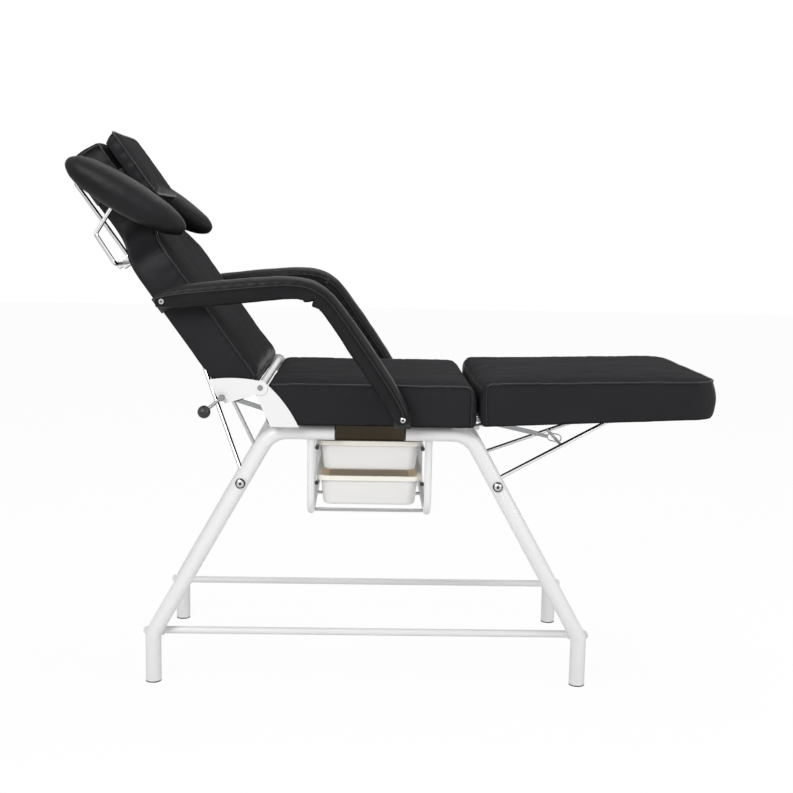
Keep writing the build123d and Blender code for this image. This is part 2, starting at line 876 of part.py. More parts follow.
def support_tilt(end):
    """The support's angle from level, with its top bar against the slide plate."""
    reach = side_fit + support_rod / 2
    if end < 0:
        across = (recline_reach - cross_x) * back_sin + (cross_height - recline_height) * back_cos
        rise = -across - back_underside - reach
        return back_angle + degrees(asin(rise / support_length))
    across = -(cross_x - leg_hinge_reach) * rest_sin + (cross_height - leg_hinge_z) * rest_cos
    rise = -across + leg_rest_rise - reach
    return leg_rest_angle + degrees(asin(rise / support_length))


def support_point(end, r, y):
    tilt = radians(support_tilt(end))
    return Vector(frame_centre_x + end * (cross_x + r * cos(tilt)), y, cross_height + r * sin(tilt))


def support(end):
    """Two converging rods with eyes on the cross tube, joined by a top bar and the stay's bar."""
    foot = support_point(end, 0, -support_half_width)
    top = support_point(end, support_length, -support_apex_half)
    top_half = support_apex_half + support_rod / 2
    slope = (support_half_width - support_apex_half) / support_length
    bar_half = support_half_width - slope * stay_bar_place
    eye_start = foot - Vector(0, support_eye_width / 2, 0)
    with BuildPart() as frame:
        with BuildSketch(Plane(foot, z_dir=top - foot)):
            Circle(support_rod / 2)
        extrude(amount=(top - foot).length)
        with BuildSketch(Plane(eye_start, z_dir=(0, 1, 0))):
            Circle(support_eye / 2)
        extrude(amount=support_eye_width)
        mirror(frame.part, about=Plane.XZ)
        with BuildSketch(Plane(support_point(end, support_length, -top_half), z_dir=(0, 1, 0))):
            Circle(support_rod / 2)
        extrude(amount=2 * top_half)
        with BuildSketch(Plane(support_point(end, stay_bar_place, -bar_half), z_dir=(0, 1, 0))):
            Circle(stay_bar / 2)
        extrude(amount=2 * bar_half)
        with BuildSketch(Plane(eye_start, z_dir=(0, 1, 0))):
            Circle(cross_tube / 2 + rod_fit)
        extrude(amount=4 * support_half_width, mode=Mode.SUBTRACT)
    return frame.part


def make_supports():
    save(support(-1), "back_support")
    save(support(1), "leg_support")


def stay_pivot(end):
    reach = back_stay_reach if end < 0 else leg_stay_reach
    return Vector(frame_centre_x + end * reach, 0, board_under_z - stay_pivot_drop)


def stay_case(end, length, tail):
    """The stay's outer channel, open below, with a trunnion on each cheek."""
    pivot = stay_pivot(end)
    along = (support_point(end, stay_bar_place, 0) - pivot).normalized()
    inner_half = stay_rack_steel / 2 + stay_gap
    outer_half = inner_half + stay_case_steel
    section = Plane(pivot - along * tail, x_dir=(0, 1, 0), z_dir=along)
    lift = stay_case_height / 2 if section.y_dir.Z > 0 else -stay_case_height / 2
    with BuildPart() as case:
        with BuildSketch(section):
            Rectangle(2 * outer_half, stay_case_height)
            with Locations((0, -lift * 2 * stay_case_steel / stay_case_height)):
                Rectangle(2 * inner_half, stay_case_height, mode=Mode.SUBTRACT)
        extrude(amount=length + tail)
        for side in (-1, 1):
            with BuildSketch(Plane(pivot + Vector(0, side * inner_half, 0), z_dir=(0, side, 0))):
                Circle(stay_pin / 2)
            extrude(amount=stay_case_steel + plate_fit + ear_steel)
    return case.part


def stay_rack(end, length, slot):
    """The toothed bar that slides in the channel and hooks round the support's bar."""
    pivot = stay_pivot(end)
    target = support_point(end, stay_bar_place, 0)
    along = (target - pivot).normalized()
    face = Plane(target - Vector(0, stay_rack_steel / 2, 0), x_dir=along, z_dir=(0, 1, 0))
    flip = 1 if face.y_dir.Z > 0 else -1
    top = (stay_case_height / 2 - stay_case_steel - stay_gap) * flip
    bottom = top - stay_rack_height * flip
    middle = (top + bottom) / 2
    with BuildPart() as rack:
        with BuildSketch(face):
            with Locations((-length / 2, middle)):
                Rectangle(length, stay_rack_height)
            SlotOverall(slot + 2 * ear_steel, rack_eye_height)
            SlotOverall(slot, rack_eye_height - 2 * ear_steel, mode=Mode.SUBTRACT)
            for tooth in range(tooth_count):
                place = -length + tooth_pitch * (tooth + 1)
                with Locations((place, bottom)):
                    Rectangle(tooth_pitch / 2, 2 * tooth_depth, mode=Mode.SUBTRACT)
        extrude(amount=stay_rack_steel)
    return rack.part


def make_stays():
    """The two ratchet stays: channel, toothed rack and the bracket under the seat."""
    parts = (
        ("back_stay", -1, back_case_length, back_case_tail, back_rack_length, back_slot_length),
        ("leg_stay", 1, leg_case_length, leg_case_tail, leg_rack_length, leg_slot_length),
    )
    for name, end, length, tail, rack_length, slot in parts:
        save(stay_case(end, length, tail), name + "_channel")
        save(stay_rack(end, rack_length, slot), name + "_rack")
    export_group([stay_bracket(-1), stay_bracket(1)], "stay_brackets")


def stay_bracket(end):
    """Two ears under the seat board that carry the channel's trunnions."""
    pivot = stay_pivot(end)
    outer_half = stay_rack_steel / 2 + stay_gap + stay_case_steel
    ear_inner = outer_half + plate_fit
    ear_outer = ear_inner + ear_steel
    with BuildPart() as bracket:
        with BuildSketch(Plane((pivot.X, 0, board_under_z - ear_steel))):
            Rectangle(stay_foot_length, 2 * (ear_outer + stay_foot_margin))
        extrude(amount=ear_steel)
        for side in (-1, 1):
            cheek = (pivot.X, side * ear_inner, pivot.Z)
            with BuildSketch(Plane(cheek, x_dir=(1, 0, 0), z_dir=(0, side, 0))):
                Circle(stay_ear_round)
                Circle(stay_pin / 2 + rod_fit, mode=Mode.SUBTRACT)
            extrude(amount=ear_steel)
            neck_y = side * (ear_inner + ear_outer) / 2
            with BuildSketch(Plane((pivot.X, neck_y, pivot.Z + stay_ear_neck))):
                Rectangle(2 * stay_ear_neck, ear_steel)
            extrude(amount=stay_pivot_drop - stay_ear_neck)
    return bracket.part


# Release lever on the right-hand back plate


def lever_pivot():
    """The lever's pin, riveted in the right-hand back plate."""
    outer = back_plate_y + plate_steel
    seat = back_point(lever_place_u, -outer - lever_hub_width - 2 * side_fit, -lever_place_v)
    grip = lever_hub_width + 2 * side_fit + plate_steel
    return headed_pin(seat, Vector(0, -1, 0), lever_pin, grip, small_bolt_head, pivot_head_rise)


def make_lever():
    outer = back_plate_y + plate_steel
    hub_y = -(outer + side_fit)
    hub = back_point(lever_place_u, hub_y, -lever_place_v)
    middle = hub - Vector(0, lever_hub_width / 2, 0)
    turn = radians(lever_angle)
    knob = Vector(hub.X + lever_length * cos(turn), -knob_y, hub.Z + lever_length * sin(turn))
    with BuildPart() as lever:
        with BuildSketch(Plane(hub, z_dir=(0, -1, 0))):
            Circle(lever_hub / 2)
        extrude(amount=lever_hub_width)
        with BuildSketch(Plane(middle, z_dir=knob - middle)):
            Circle(lever_rod / 2)
        extrude(amount=(knob - middle).length)
        with BuildSketch(Plane(hub, z_dir=(0, -1, 0))):
            Circle(lever_pin / 2 + rod_fit)
        extrude(amount=lever_hub_width, mode=Mode.SUBTRACT)
    save(lever.part, "release_lever")
    reach = knob - middle
    with BuildPart() as ball:
        with Locations(Plane(knob, z_dir=reach)):
            Sphere(knob_diameter / 2)
        with BuildSketch(Plane(middle, z_dir=reach)):
            Circle(lever_rod / 2)
        extrude(amount=reach.length, mode=Mode.SUBTRACT)
    save(ball.part, "lever_knob")


# Armrests: two padded bars a side, hinged at the elbow


def arm_outline(fit):
    """The whole bent armrest seen from the right, drawn about its elbow."""
    with BuildSketch() as outline:
        with BuildLine():
            Spline(*arm_top_line)
            Spline(arm_top_line[-1], *arm_outer_line)
            Line(arm_outer_line[-1], arm_inner_line[0])
            Polyline(*arm_inner_line, *arm_under_line)
            Line(arm_under_line[-1], arm_top_line[0])
        make_face()
        if fit:
            offset(amount=fit)
    return outline.sketch


def arm_zone(fit):
    """Everything of the outline that turns with the forearm: the near half and a disc at the elbow."""
    angle = degrees(atan2(-arm_inner_line[-1][1], -arm_inner_line[-1][0]))
    reach = elbow_height + arm_top_line[-1][1]
    with BuildSketch() as zone:
        with Locations(Rot(0, 0, angle) * Pos(0, -fit)):
            Rectangle(2 * reach, reach, align=(Align.CENTER, Align.MIN))
        Circle(arm_joint_round + fit)
    return zone.sketch


def arm_pad(upper):
    base = side_plane(-arm_inner_y, frame_centre_x + elbow_x, elbow_height)
    with BuildPart() as pad:
        with BuildSketch(base):
            add(arm_outline(0))
            if upper:
                add(arm_zone(0), mode=Mode.INTERSECT)
            else:
                add(arm_zone(arm_joint_fit), mode=Mode.SUBTRACT)
        extrude(amount=arm_pad_width)
    return pad.part


def arm_bar(start, finish, inner, start_hole, finish_hole):
    """A flat bar from eye to eye; start and finish are X and Z from the chair's middle."""
    run = (finish[0] - start[0], finish[1] - start[1])
    turn = degrees(atan2(run[1], run[0]))
    base = Plane((frame_centre_x + start[0], -inner, start[1]), x_dir=(1, 0, 0), z_dir=(0, -1, 0))
    with BuildPart() as bar:
        with BuildSketch(base):
            with Locations(Pos(run[0] / 2, run[1] / 2) * Rot(0, 0, turn)):
                SlotCenterToCenter(hypot(*run), arm_bar_height)
            Circle(start_hole / 2, mode=Mode.SUBTRACT)
            with Locations(run):
                Circle(finish_hole / 2, mode=Mode.SUBTRACT)
        extrude(amount=arm_bar_steel)
    return bar.part


def hollowed_pad(upper, bar, place, spacer_depth):
    """An arm pad with room for its bar, the elbow's parts and the bolt at its end."""
    face_y = -arm_inner_y
    with BuildPart() as pad:
        add(arm_pad(upper))
        add(bar, mode=Mode.SUBTRACT)
        with BuildSketch(side_plane(face_y, frame_centre_x + place[0], place[1])):
            Circle(arm_bolt / 2 + arm_bolt_fit)
        extrude(amount=arm_pad_width, mode=Mode.SUBTRACT)
        with BuildSketch(side_plane(face_y, frame_centre_x + place[0], place[1])):
            Circle(arm_spacer / 2 + arm_bolt_fit)
        extrude(amount=spacer_depth, mode=Mode.SUBTRACT)
        if upper:
            with BuildSketch(side_plane(face_y, frame_centre_x + elbow_x, elbow_height)):
                Circle(arm_joint_round + arm_joint_fit)
            extrude(amount=arm_bar_steel + plate_fit, mode=Mode.SUBTRACT)
            with BuildSketch(side_plane(face_y, frame_centre_x + elbow_x, elbow_height)):
                Circle(elbow_head / 2 + arm_joint_fit)
            extrude(amount=2 * arm_bar_steel + 2 * elbow_head_rise, mode=Mode.SUBTRACT)
    return pad.part


def shouldered_bolt(place, inner, shoulder_from, shoulder_to):
    """An arm bolt: truss head on the pad, plain shank and a spacer shoulder by the bar."""
    x = frame_centre_x + place[0]
    outer = arm_inner_y + arm_pad_width
    seat = (x, -outer, place[1])
    head = domed_bolt(seat, (0, -1, 0), arm_bolt, arm_bolt_head, small_head_rise, outer - inner)
    with BuildPart() as bolt:
        add(head)
        with BuildSketch(side_plane(-shoulder_from, x, place[1])):
            Circle(arm_spacer / 2)
        extrude(amount=shoulder_to - shoulder_from)
    return bolt.part


def arm_foot_bracket():
    """The bent plate that carries the armrest's lower end, its flange under the seat board."""
    x = frame_centre_x + arm_foot_x
    half = arm_bracket_width / 2
    with BuildPart() as bracket:
        with BuildSketch(side_plane(-seat_plate_y, x, arm_foot_height)):
            Circle(half)
            drop = arm_foot_height - seat_tube_top
            Rectangle(arm_bracket_width, drop, align=(Align.CENTER, Align.MAX))
            Circle(arm_bolt / 2, mode=Mode.SUBTRACT)
        extrude(amount=plate_steel)
        with BuildSketch(Plane((x, -seat_plate_y - plate_steel, seat_tube_top))):
            flange_in = seat_plate_y + plate_steel - leg_inner_y
            Rectangle(arm_bracket_width, flange_in, align=(Align.CENTER, Align.MIN))
        extrude(amount=flange_steel)
    return bracket.part


def arm_back_lug():
    """The bent plate on the back's side that the armrest's rear bolt bears against."""
    half = arm_bracket_width / 2
    outer = -(seat_plate_y + plate_steel)
    under = -back_underside - flange_steel
    place_u = arm_back_place_u
    with BuildPart() as lug:
        with BuildSketch(back_side_plane(outer, place_u, -arm_back_place_v)):
            Circle(half)
            drop = -arm_back_place_v - under
            Rectangle(arm_bracket_width, drop, align=(Align.CENTER, Align.MAX))
        extrude(amount=plate_steel)
        with BuildSketch(back_side_plane(outer, place_u, under)):
            Rectangle(arm_bracket_width, flange_steel, align=(Align.CENTER, Align.MIN))
        extrude(amount=plate_steel + plate_flange_in)
    return lug.part


def riveted_bar(bar, lower_y, upper_y):
    """The lower bar with its elbow rivet, which the upper bar turns on."""
    x = frame_centre_x + elbow_x
    far = upper_y + arm_bar_steel + side_fit
    with BuildPart() as riveted:
        add(bar)
        with BuildSketch(side_plane(-lower_y + elbow_head_rise, x, elbow_height)):
            Circle(elbow_head / 2)
        extrude(amount=elbow_head_rise)
        with BuildSketch(side_plane(-lower_y, x, elbow_height)):
            Circle(elbow_pin / 2)
        extrude(amount=far - lower_y)
        with BuildSketch(side_plane(-far, x, elbow_height)):
            Circle(elbow_head / 2)
        extrude(amount=elbow_head_rise)
    return riveted.part


def make_armrests():
    elbow = (elbow_x, elbow_height)
    foot = (arm_foot_x, arm_foot_height)
    rear_point = back_point(arm_back_place_u, 0, -arm_back_place_v)
    rear = (rear_point.X - frame_centre_x, rear_point.Z)
    lower_y = arm_inner_y
    upper_y = lower_y + arm_bar_steel + plate_fit
    lower_bar = arm_bar(elbow, foot, lower_y, elbow_pin, arm_bolt + 2 * rod_fit)
    upper_bar = arm_bar(elbow, rear, upper_y, elbow_pin + 2 * rod_fit, arm_bolt)
    save_pair(hollowed_pad(False, lower_bar, foot, arm_bar_steel), "lower_arm_pad")
    save_pair(hollowed_pad(True, upper_bar, rear, upper_y - lower_y), "upper_arm_pad")
    save_pair(riveted_bar(lower_bar, lower_y, upper_y), "lower_arm_bar")
    save_pair(upper_bar, "upper_arm_bar")
    plate_outer = seat_plate_y + plate_steel
    save_twins(arm_foot_bracket(), "arm_foot_brackets")
    save_twins(arm_back_lug(), "arm_back_lugs")
    save_twins(shouldered_bolt(foot, seat_plate_y, plate_outer, lower_y - side_fit), "arm_foot_bolts")
    tip = plate_outer + side_fit
    save_pair(shouldered_bolt(rear, tip, tip, upper_y), "arm_back_bolt")


# Head end: rear rails, clamps, arm pads on bent rods, pillow and strap


def make_rear_rails():
    """Two rods behind the head section, their ends bent in to the board."""
    rails = []
    level = -back_underside - rail_stand_off
    for side in (-1, 1):
        y = side * rail_rod_half
        points = [
            back_point(rail_start, y, -back_underside),
            back_point(rail_start, y, level),
            back_point(rail_end, y, level),
            back_point(rail_end, y, -back_underside),
        ]
        rails.append(bent_tube(points, rail_bend_radius, rail_rod))
    export_group(rails, "rear_rails")


def make_clamps():
    """A block on each rear rail that grips a pad's rod under a wing screw."""
    rail_v = -back_underside - rail_stand_off
    top_v = rail_v + clamp_cover
    bottom_v = -holder_pivot_v - clamp_cover
    corner = back_point(holder_pivot_u, -rail_rod_half, (top_v + bottom_v) / 2)
    with BuildPart() as clamp:
        with Locations(Plane(corner, x_dir=back_up, z_dir=back_front)):
            Box(clamp_length, clamp_width, top_v - bottom_v)
        fillet(clamp.edges().filter_by(Axis(corner, back_front)), rod_round)
        rail_point = back_point(holder_pivot_u - clamp_length, -rail_rod_half, rail_v)
        with BuildSketch(Plane(rail_point, z_dir=back_up)):
            Circle(rail_rod / 2)
        extrude(amount=2 * clamp_length, mode=Mode.SUBTRACT)
        with BuildSketch(back_side_plane(-rail_rod_half - clamp_width, holder_pivot_u, -holder_pivot_v)):
            Circle(holder_rod / 2 + rod_fit)
        extrude(amount=2 * clamp_width, mode=Mode.SUBTRACT)
        with BuildSketch(Plane(back_point(holder_pivot_u, -rail_rod_half, bottom_v), z_dir=back_front)):
            Circle(wing_bolt / 2 + rod_fit)
        extrude(amount=clamp_cover, mode=Mode.SUBTRACT)
    save_twins(clamp.part, "pad_clamps")
    face = back_point(holder_pivot_u, -rail_rod_half, bottom_v)
    reach = clamp_cover - holder_rod / 2 - side_fit
    with BuildPart() as screw:
        with BuildSketch(Plane(face, z_dir=back_front)):
            Circle(wing_bolt / 2)
        extrude(amount=reach)
        with BuildSketch(Plane(face, z_dir=-back_front)):
            Circle(wing_bolt / 2)
        extrude(amount=side_fit)
        with BuildSketch(Plane(face - back_front * side_fit, z_dir=-back_front)):
            Circle(wing_collar / 2)
        extrude(amount=wing_height)
        wing = face - back_front * (side_fit + wing_height / 2)
        with BuildSketch(Plane(wing, x_dir=(0, 1, 0), z_dir=back_up)):
            RectangleRounded(wing_span, wing_height, wing_steel)
        extrude(amount=wing_steel / 2, both=True)
    save_pair(screw.part, "wing_screw")


def make_pad_holders():
    out = -pad_half_spread
    start_y = -rail_rod_half + clamp_width / 2 + holder_rod
    knee = back_point(holder_knee_u, out, -holder_knee_v)
    rod_end = back_point(holder_end_u, out, -holder_end_v)
    pivot_end = back_point(holder_pivot_u, start_y, -holder_pivot_v)
    points = [pivot_end, back_point(holder_pivot_u, out, -holder_pivot_v), knee, rod_end]
    rod = bent_tube(points, holder_bend_radius, holder_rod)
    save_pair(rod, "pad_holder")
    centre = back_point(pad_place_u, out, -pad_place_v)
    turn = radians(180 - back_angle + pad_tilt)
    along = Vector(cos(turn), 0, sin(turn))
    profile = [(pad_length * share, pad_thickness / 2 * width) for share, width in pad_profile_shares]
    with BuildPart() as spindle:
        with BuildSketch():
            with BuildLine():
                Spline(*profile)
                Polyline(profile[-1], (profile[-1][0], 0), (profile[0][0], 0), profile[0])
            make_face()
        revolve(axis=Axis.X)
    with BuildPart() as pad:
        add(Plane(centre, x_dir=along, z_dir=(0, -1, 0)) * spindle.part)
        with BuildSketch(Plane(rod_end, z_dir=knee - rod_end)):
            Circle(holder_rod / 2)
        extrude(amount=(knee - rod_end).length, mode=Mode.SUBTRACT)
    save_pair(pad.part, "arm_pad")


def make_pillow():
    crown = back_foam_depth - back_underside + crown_rise
    under = crown + strap_steel + 2 * weld_fit
    middle = pillow_place + pillow_length / 2
    with BuildPart() as pillow:
        for level_share, inset_share in pillow_level_shares:
            inset = pillow_ridge * inset_share
            with BuildSketch(back_level(under + pillow_depth * level_share)):
                with Locations((middle, 0)):
                    RectangleRounded(pillow_length - 2 * inset, pillow_width - 2 * inset, pillow_corner)
        loft(ruled=True)
    save(pillow.part, "head_pillow")
    half = head_width / 2
    seam = crown - crown_rise
    low = -back_underside
    ring = [(half, low), (half, seam)]
    for rise_share, inset_share in zip(crown_rise_shares[1:], crown_inset_shares[1:]):
        ring.append((half - inset_share * edge_round, seam + rise_share * crown_rise))
    ring = ring + [(-y, v) for y, v in reversed(ring)]
    start = Plane(back_point(middle - strap_width / 2, 0, 0), x_dir=(0, 1, 0), z_dir=back_up)
    flip = 1 if start.y_dir.Z > 0 else -1
    ring = [(y, v * flip) for y, v in ring]
    with BuildPart() as strap:
        with BuildSketch(start):
            Polygon(*ring, align=None)
            offset(amount=strap_steel)
            Polygon(*ring, align=None, mode=Mode.SUBTRACT)
        extrude(amount=strap_width)
    save(strap.part, "pillow_strap")


def make_all():
    make_leg_frame()
    make_cross_tubes()
    make_stretchers()
    make_rack()
    save(tray(0), "upper_tray")
    save(tray(1), "lower_tray")
    make_cushions()
    make_recline_joint()
    make_leg_hinges()
    make_supports()
    make_stays()
    make_lever()
    make_armrests()
    make_rear_rails()
    make_clamps()
    make_pad_holders()
    make_pillow()


make_all()
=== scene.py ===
"""A reclining tattoo chair: its upholstery, finishes, floor and light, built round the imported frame."""

import math

import bmesh
import bpy
import numpy as np
from bpy.props import FloatProperty, FloatVectorProperty, PointerProperty
from bpy.types import Operator, Panel, PropertyGroup
from mathutils import Matrix, Vector, noise
from mathutils.bvhtree import BVHTree
from mathutils.kdtree import KDTree


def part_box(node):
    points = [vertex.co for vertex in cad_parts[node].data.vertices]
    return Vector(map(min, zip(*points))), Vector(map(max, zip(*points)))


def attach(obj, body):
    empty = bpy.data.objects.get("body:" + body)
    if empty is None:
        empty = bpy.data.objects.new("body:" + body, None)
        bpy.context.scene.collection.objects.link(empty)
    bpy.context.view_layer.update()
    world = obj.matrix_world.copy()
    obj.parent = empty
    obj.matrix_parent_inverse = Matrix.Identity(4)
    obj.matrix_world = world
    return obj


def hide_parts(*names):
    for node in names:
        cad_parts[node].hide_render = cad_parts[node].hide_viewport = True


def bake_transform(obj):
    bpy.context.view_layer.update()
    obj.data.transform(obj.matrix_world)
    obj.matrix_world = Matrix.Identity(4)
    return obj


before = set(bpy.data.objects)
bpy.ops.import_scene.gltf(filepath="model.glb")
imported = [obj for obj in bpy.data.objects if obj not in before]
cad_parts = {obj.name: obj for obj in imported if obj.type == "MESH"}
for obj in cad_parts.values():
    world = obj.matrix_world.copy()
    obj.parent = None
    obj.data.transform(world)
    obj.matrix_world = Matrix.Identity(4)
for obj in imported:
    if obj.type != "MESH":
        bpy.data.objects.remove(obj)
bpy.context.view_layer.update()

bl_info = {
    "name": "Tattoo chair",
    "version": (1, 0, 0),
    "blender": (4, 5, 0),
    "location": "3D View > Sidebar > Tattoo chair",
    "description": "Upholstery, finishes and studio for the reclining tattoo chair",
    "category": "Object",
}

# Places of the chair in metres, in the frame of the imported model
MIDDLE_X = -0.049
RECLINE = (-0.307, 0.734)
BACK_ANGLE = math.radians(54)
KNEE = (0.206, 0.641)
REST_ANGLE = math.radians(2.8)
SEAT_UNDER = 0.645
HALF_WIDTH = 0.298
BOARD = 0.0152
BOARD_INSET = 0.008
FOAM = 0.096
BACK_FOAM = 0.086
BACK_UNDER = -0.082
REST_UNDER = 0.006


def back_point(u, y, v):
    """u up along the back, v out of its front, from the recline axis."""
    c, s = math.cos(BACK_ANGLE), math.sin(BACK_ANGLE)
    return Vector((RECLINE[0] - u * c + v * s, y, RECLINE[1] + u * s + v * c))


def rest_point(a, y, w):
    """a along the leg rest and w above it, from the knee hinge."""
    c, s = math.cos(REST_ANGLE), math.sin(REST_ANGLE)
    return Vector((KNEE[0] + a * c - w * s, y, KNEE[1] + a * s + w * c))


def seat_place(a, b, c):
    return Vector((MIDDLE_X + a, b, SEAT_UNDER + c))


def back_place(a, b, c):
    return back_point(a, b, BACK_UNDER + c)


def rest_place(a, b, c):
    return rest_point(a, b, REST_UNDER + c)


# Shader maths


class Value:
    """A node's output that Python arithmetic can be written on."""

    def __init__(self, finish, socket):
        self.finish = finish
        self.socket = socket

    def joined(self, operation, first, second):
        return self.finish.node("ShaderNodeMath", {"operation": operation}, {0: first, 1: second})

    def __add__(self, other):
        return self.joined("ADD", self, other)

    def __radd__(self, other):
        return self.joined("ADD", other, self)

    def __sub__(self, other):
        return self.joined("SUBTRACT", self, other)

    def __rsub__(self, other):
        return self.joined("SUBTRACT", other, self)

    def __mul__(self, other):
        return self.joined("MULTIPLY", self, other)

    def __rmul__(self, other):
        return self.joined("MULTIPLY", other, self)

    def __truediv__(self, other):
        return self.joined("DIVIDE", self, other)

    def higher(self, other):
        return self.joined("MAXIMUM", self, other)

    def lower(self, other):
        return self.joined("MINIMUM", self, other)

    def between(self, low, high):
        """0 below low and 1 above high, with a smooth step from one to the other."""
        sockets = {"Value": self, "From Min": low, "From Max": high}
        return self.finish.node("ShaderNodeMapRange", {"interpolation_type": "SMOOTHSTEP"}, sockets)


class Finish:
    """A material or world under construction, with one method for all of its nodes."""

    def __init__(self, name, store=None):
        self.material = (bpy.data.materials if store is None else store).new(name)
        self.material.use_nodes = True
        self.tree = self.material.node_tree
        self.tree.nodes.clear()
        self.place = self.node("ShaderNodeTexCoord", out="Object")

    def node(self, kind, settings=None, sockets=None, out=0):
        made = self.tree.nodes.new(kind)
        for key, value in (settings or {}).items():
            setattr(made, key, value)
        for key, value in (sockets or {}).items():
            if isinstance(value, Value):
                self.tree.links.new(value.socket, made.inputs[key])
            else:
                made.inputs[key].default_value = value
        return Value(self, made.outputs[out])

    def colour_mix(self, factor, first, second):
        """One colour shading into the other."""
        sides = {0: factor}
        for socket, colour in ((6, first), (7, second)):
            sides[socket] = colour if isinstance(colour, Value) else (*colour, 1)
        settings = {"data_type": "RGBA", "blend_type": "MIX", "clamp_factor": True}
        return self.node("ShaderNodeMix", settings, sides, out=2)

    def noise(self, scale, detail=2.0, stretch=None):
        place = self.place
        if stretch:
            place = self.node("ShaderNodeMapping", {}, {"Vector": place, "Scale": stretch})
        sockets = {"Vector": place, "Scale": scale, "Detail": detail}
        return self.node("ShaderNodeTexNoise", {}, sockets)

    def cells(self, scale, feature="F1"):
        sockets = {"Vector": self.place, "Scale": scale}
        return self.node("ShaderNodeTexVoronoi", {"feature": feature}, sockets, out="Distance")

    def axis(self, name):
        return self.node("ShaderNodeSeparateXYZ", {}, {0: self.place}, out=name)

    def facing(self, name):
        """How far the surface faces along an axis."""
        normal = self.node("ShaderNodeNewGeometry", out="Normal")
        return self.node("ShaderNodeSeparateXYZ", {}, {0: normal}, out=name)

    def attribute(self, name):
        return self.node("ShaderNodeAttribute", {"attribute_name": name}, {}, out="Fac")

    def bump(self, height, strength, distance, under=None):
        sockets = {"Height": height, "Strength": strength, "Distance": distance}
        if under:
            sockets["Normal"] = under
        return self.node("ShaderNodeBump", {}, sockets)

    def surface(self, **sockets):
        """Ends the material in a Principled BSDF; names use _ for a space."""
        named = {}
        for key, value in sockets.items():
            named[key.replace("_", " ")] = (*value, 1) if isinstance(value, tuple) else value
        return self.ended(self.node("ShaderNodeBsdfPrincipled", {}, named))

    def ended(self, shader, kind="ShaderNodeOutputMaterial"):
        end = self.tree.nodes.new(kind)
        self.tree.links.new(shader.socket, end.inputs["Surface"])
        return self.material


# The painted sheen of the cushions' side panels: a greyer tone on faces that don't lie flat, and how far the
# cover takes it
SIDE_SHEEN_GREY = (0.0245, 0.0238, 0.0262)
SIDE_SHEEN_SHARE = 0.5


def leather(name, look, lift=1.0, dull=0.0, gloss=1.0):
    """Soft synthetic leather with a pebbled grain, a painted shade along its seams, duller where it lies
    flat, and, where dull is given, a painted grey sheen on the faces that don't lie flat.
    """
    f = Finish(name)
    # A lift above or below 1 makes a lit or shaded copy of the leather: painted light or painted shade.
    base = tuple(c * lift for c in look.leather_colour)
    light = tuple(c * 1.4 + 0.001 for c in base)
    # The near-black colour of the painted seam shade.
    dark = tuple(c * 0.15 for c in base)
    mottle = f.noise(9.0, 3.0).between(0.35, 0.7)
    colour = f.colour_mix(mottle * 0.6, base, light)
    # Painted shade along the seams: the seam attribute draws the leather towards that near-black.
    seam = f.attribute("seam")
    colour = f.colour_mix(seam * 0.9, colour, dark)
    pebbles = f.cells(620.0, "SMOOTH_F1")
    pores = f.noise(1500.0, 2.0)
    creases = f.noise(70.0, 4.0)
    grain = f.bump(pebbles + pores * 0.3, look.grain_strength, 0.0003)
    grain = f.bump(creases, 0.05, 0.0016, grain)
    wear = f.noise(26.0, 4.0)
    upward = f.facing("Z")
    flat = (upward * upward).between(0.06, 0.30)
    rough = look.leather_roughness - 0.06 + wear * 0.12 + flat * dull
    # Painted sheen: faces that don't lie flat are drawn towards the lighter grey.
    if dull:
        colour = f.colour_mix((1 - flat) * SIDE_SHEEN_SHARE, colour, SIDE_SHEEN_GREY)
    sheen = look.leather_gloss * gloss
    return f.surface(Base_Color=colour, Roughness=rough, Normal=grain, Specular_IOR_Level=sheen)


def gloss_paint(name, colour, roughness):
    """Powder coat: even colour, faint orange peel."""
    f = Finish(name)
    shade = tuple(c * 0.95 for c in colour)
    drift = f.noise(4.0, 2.0).between(0.3, 0.75)
    tone = f.colour_mix(drift * 0.5, colour, shade)
    peel = f.bump(f.noise(420.0, 2.0), 0.05, 0.0005)
    rough = roughness + f.noise(60.0, 3.0) * 0.08
    return f.surface(Base_Color=tone, Roughness=rough, Normal=peel)


def plated_metal(name, colour, dark, reflection_axis, roughness, streak):
    """Plated steel with a painted reflection: bright where it faces along one axis and dark on its flanks, as
    if mirroring bright and dark surroundings, with fine polishing marks.
    """
    f = Finish(name)
    turned = f.facing(reflection_axis)
    marks = f.noise(160.0, 4.0, (1.0, 1.0, 9.0))
    cloud = f.noise(35.0, 3.0)
    # Painted reflection: the facing along the axis, with a mottle, picks the bright colour over the dark one.
    painted_reflection = (turned * turned + cloud * 0.16 - 0.08).between(0.16, 0.52)
    tone = f.colour_mix(painted_reflection, dark, colour)
    rough = roughness + marks * streak
    polish = f.bump(marks, 0.04, 0.0002)
    return f.surface(Base_Color=tone, Metallic=1.0, Roughness=rough, Normal=polish)


def bolt_head(name, node, radius):
    """Plated round heads at the ends of a node's box, with painted light: painted shade in the driving
    recess, a painted highlight on the dome and a painted dark reflection at its rim.
    """
    f = Finish(name)
    low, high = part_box(node)
    rise = f.axis("Z") - (low.z + high.z) / 2
    away = None
    for x in (low.x + radius, high.x - radius):
        run = f.axis("X") - x
        squared = run * run + rise * rise
        away = away.lower(squared) if away else squared
    share = away / radius**2
    # Painted highlight on a ring of the dome, between painted shade at the centre and a painted dark
    # reflection at the rim.
    dome = share.between(0.04, 0.12) * (1 - share.between(0.38, 0.62))
    tone = f.colour_mix(dome, (0.05, 0.05, 0.052), (0.62, 0.62, 0.63))
    marks = f.noise(300.0, 3.0)
    polish = f.bump(marks, 0.05, 0.0002)
    return f.surface(Base_Color=tone, Metallic=1.0, Roughness=0.12 + marks * 0.1, Normal=polish)


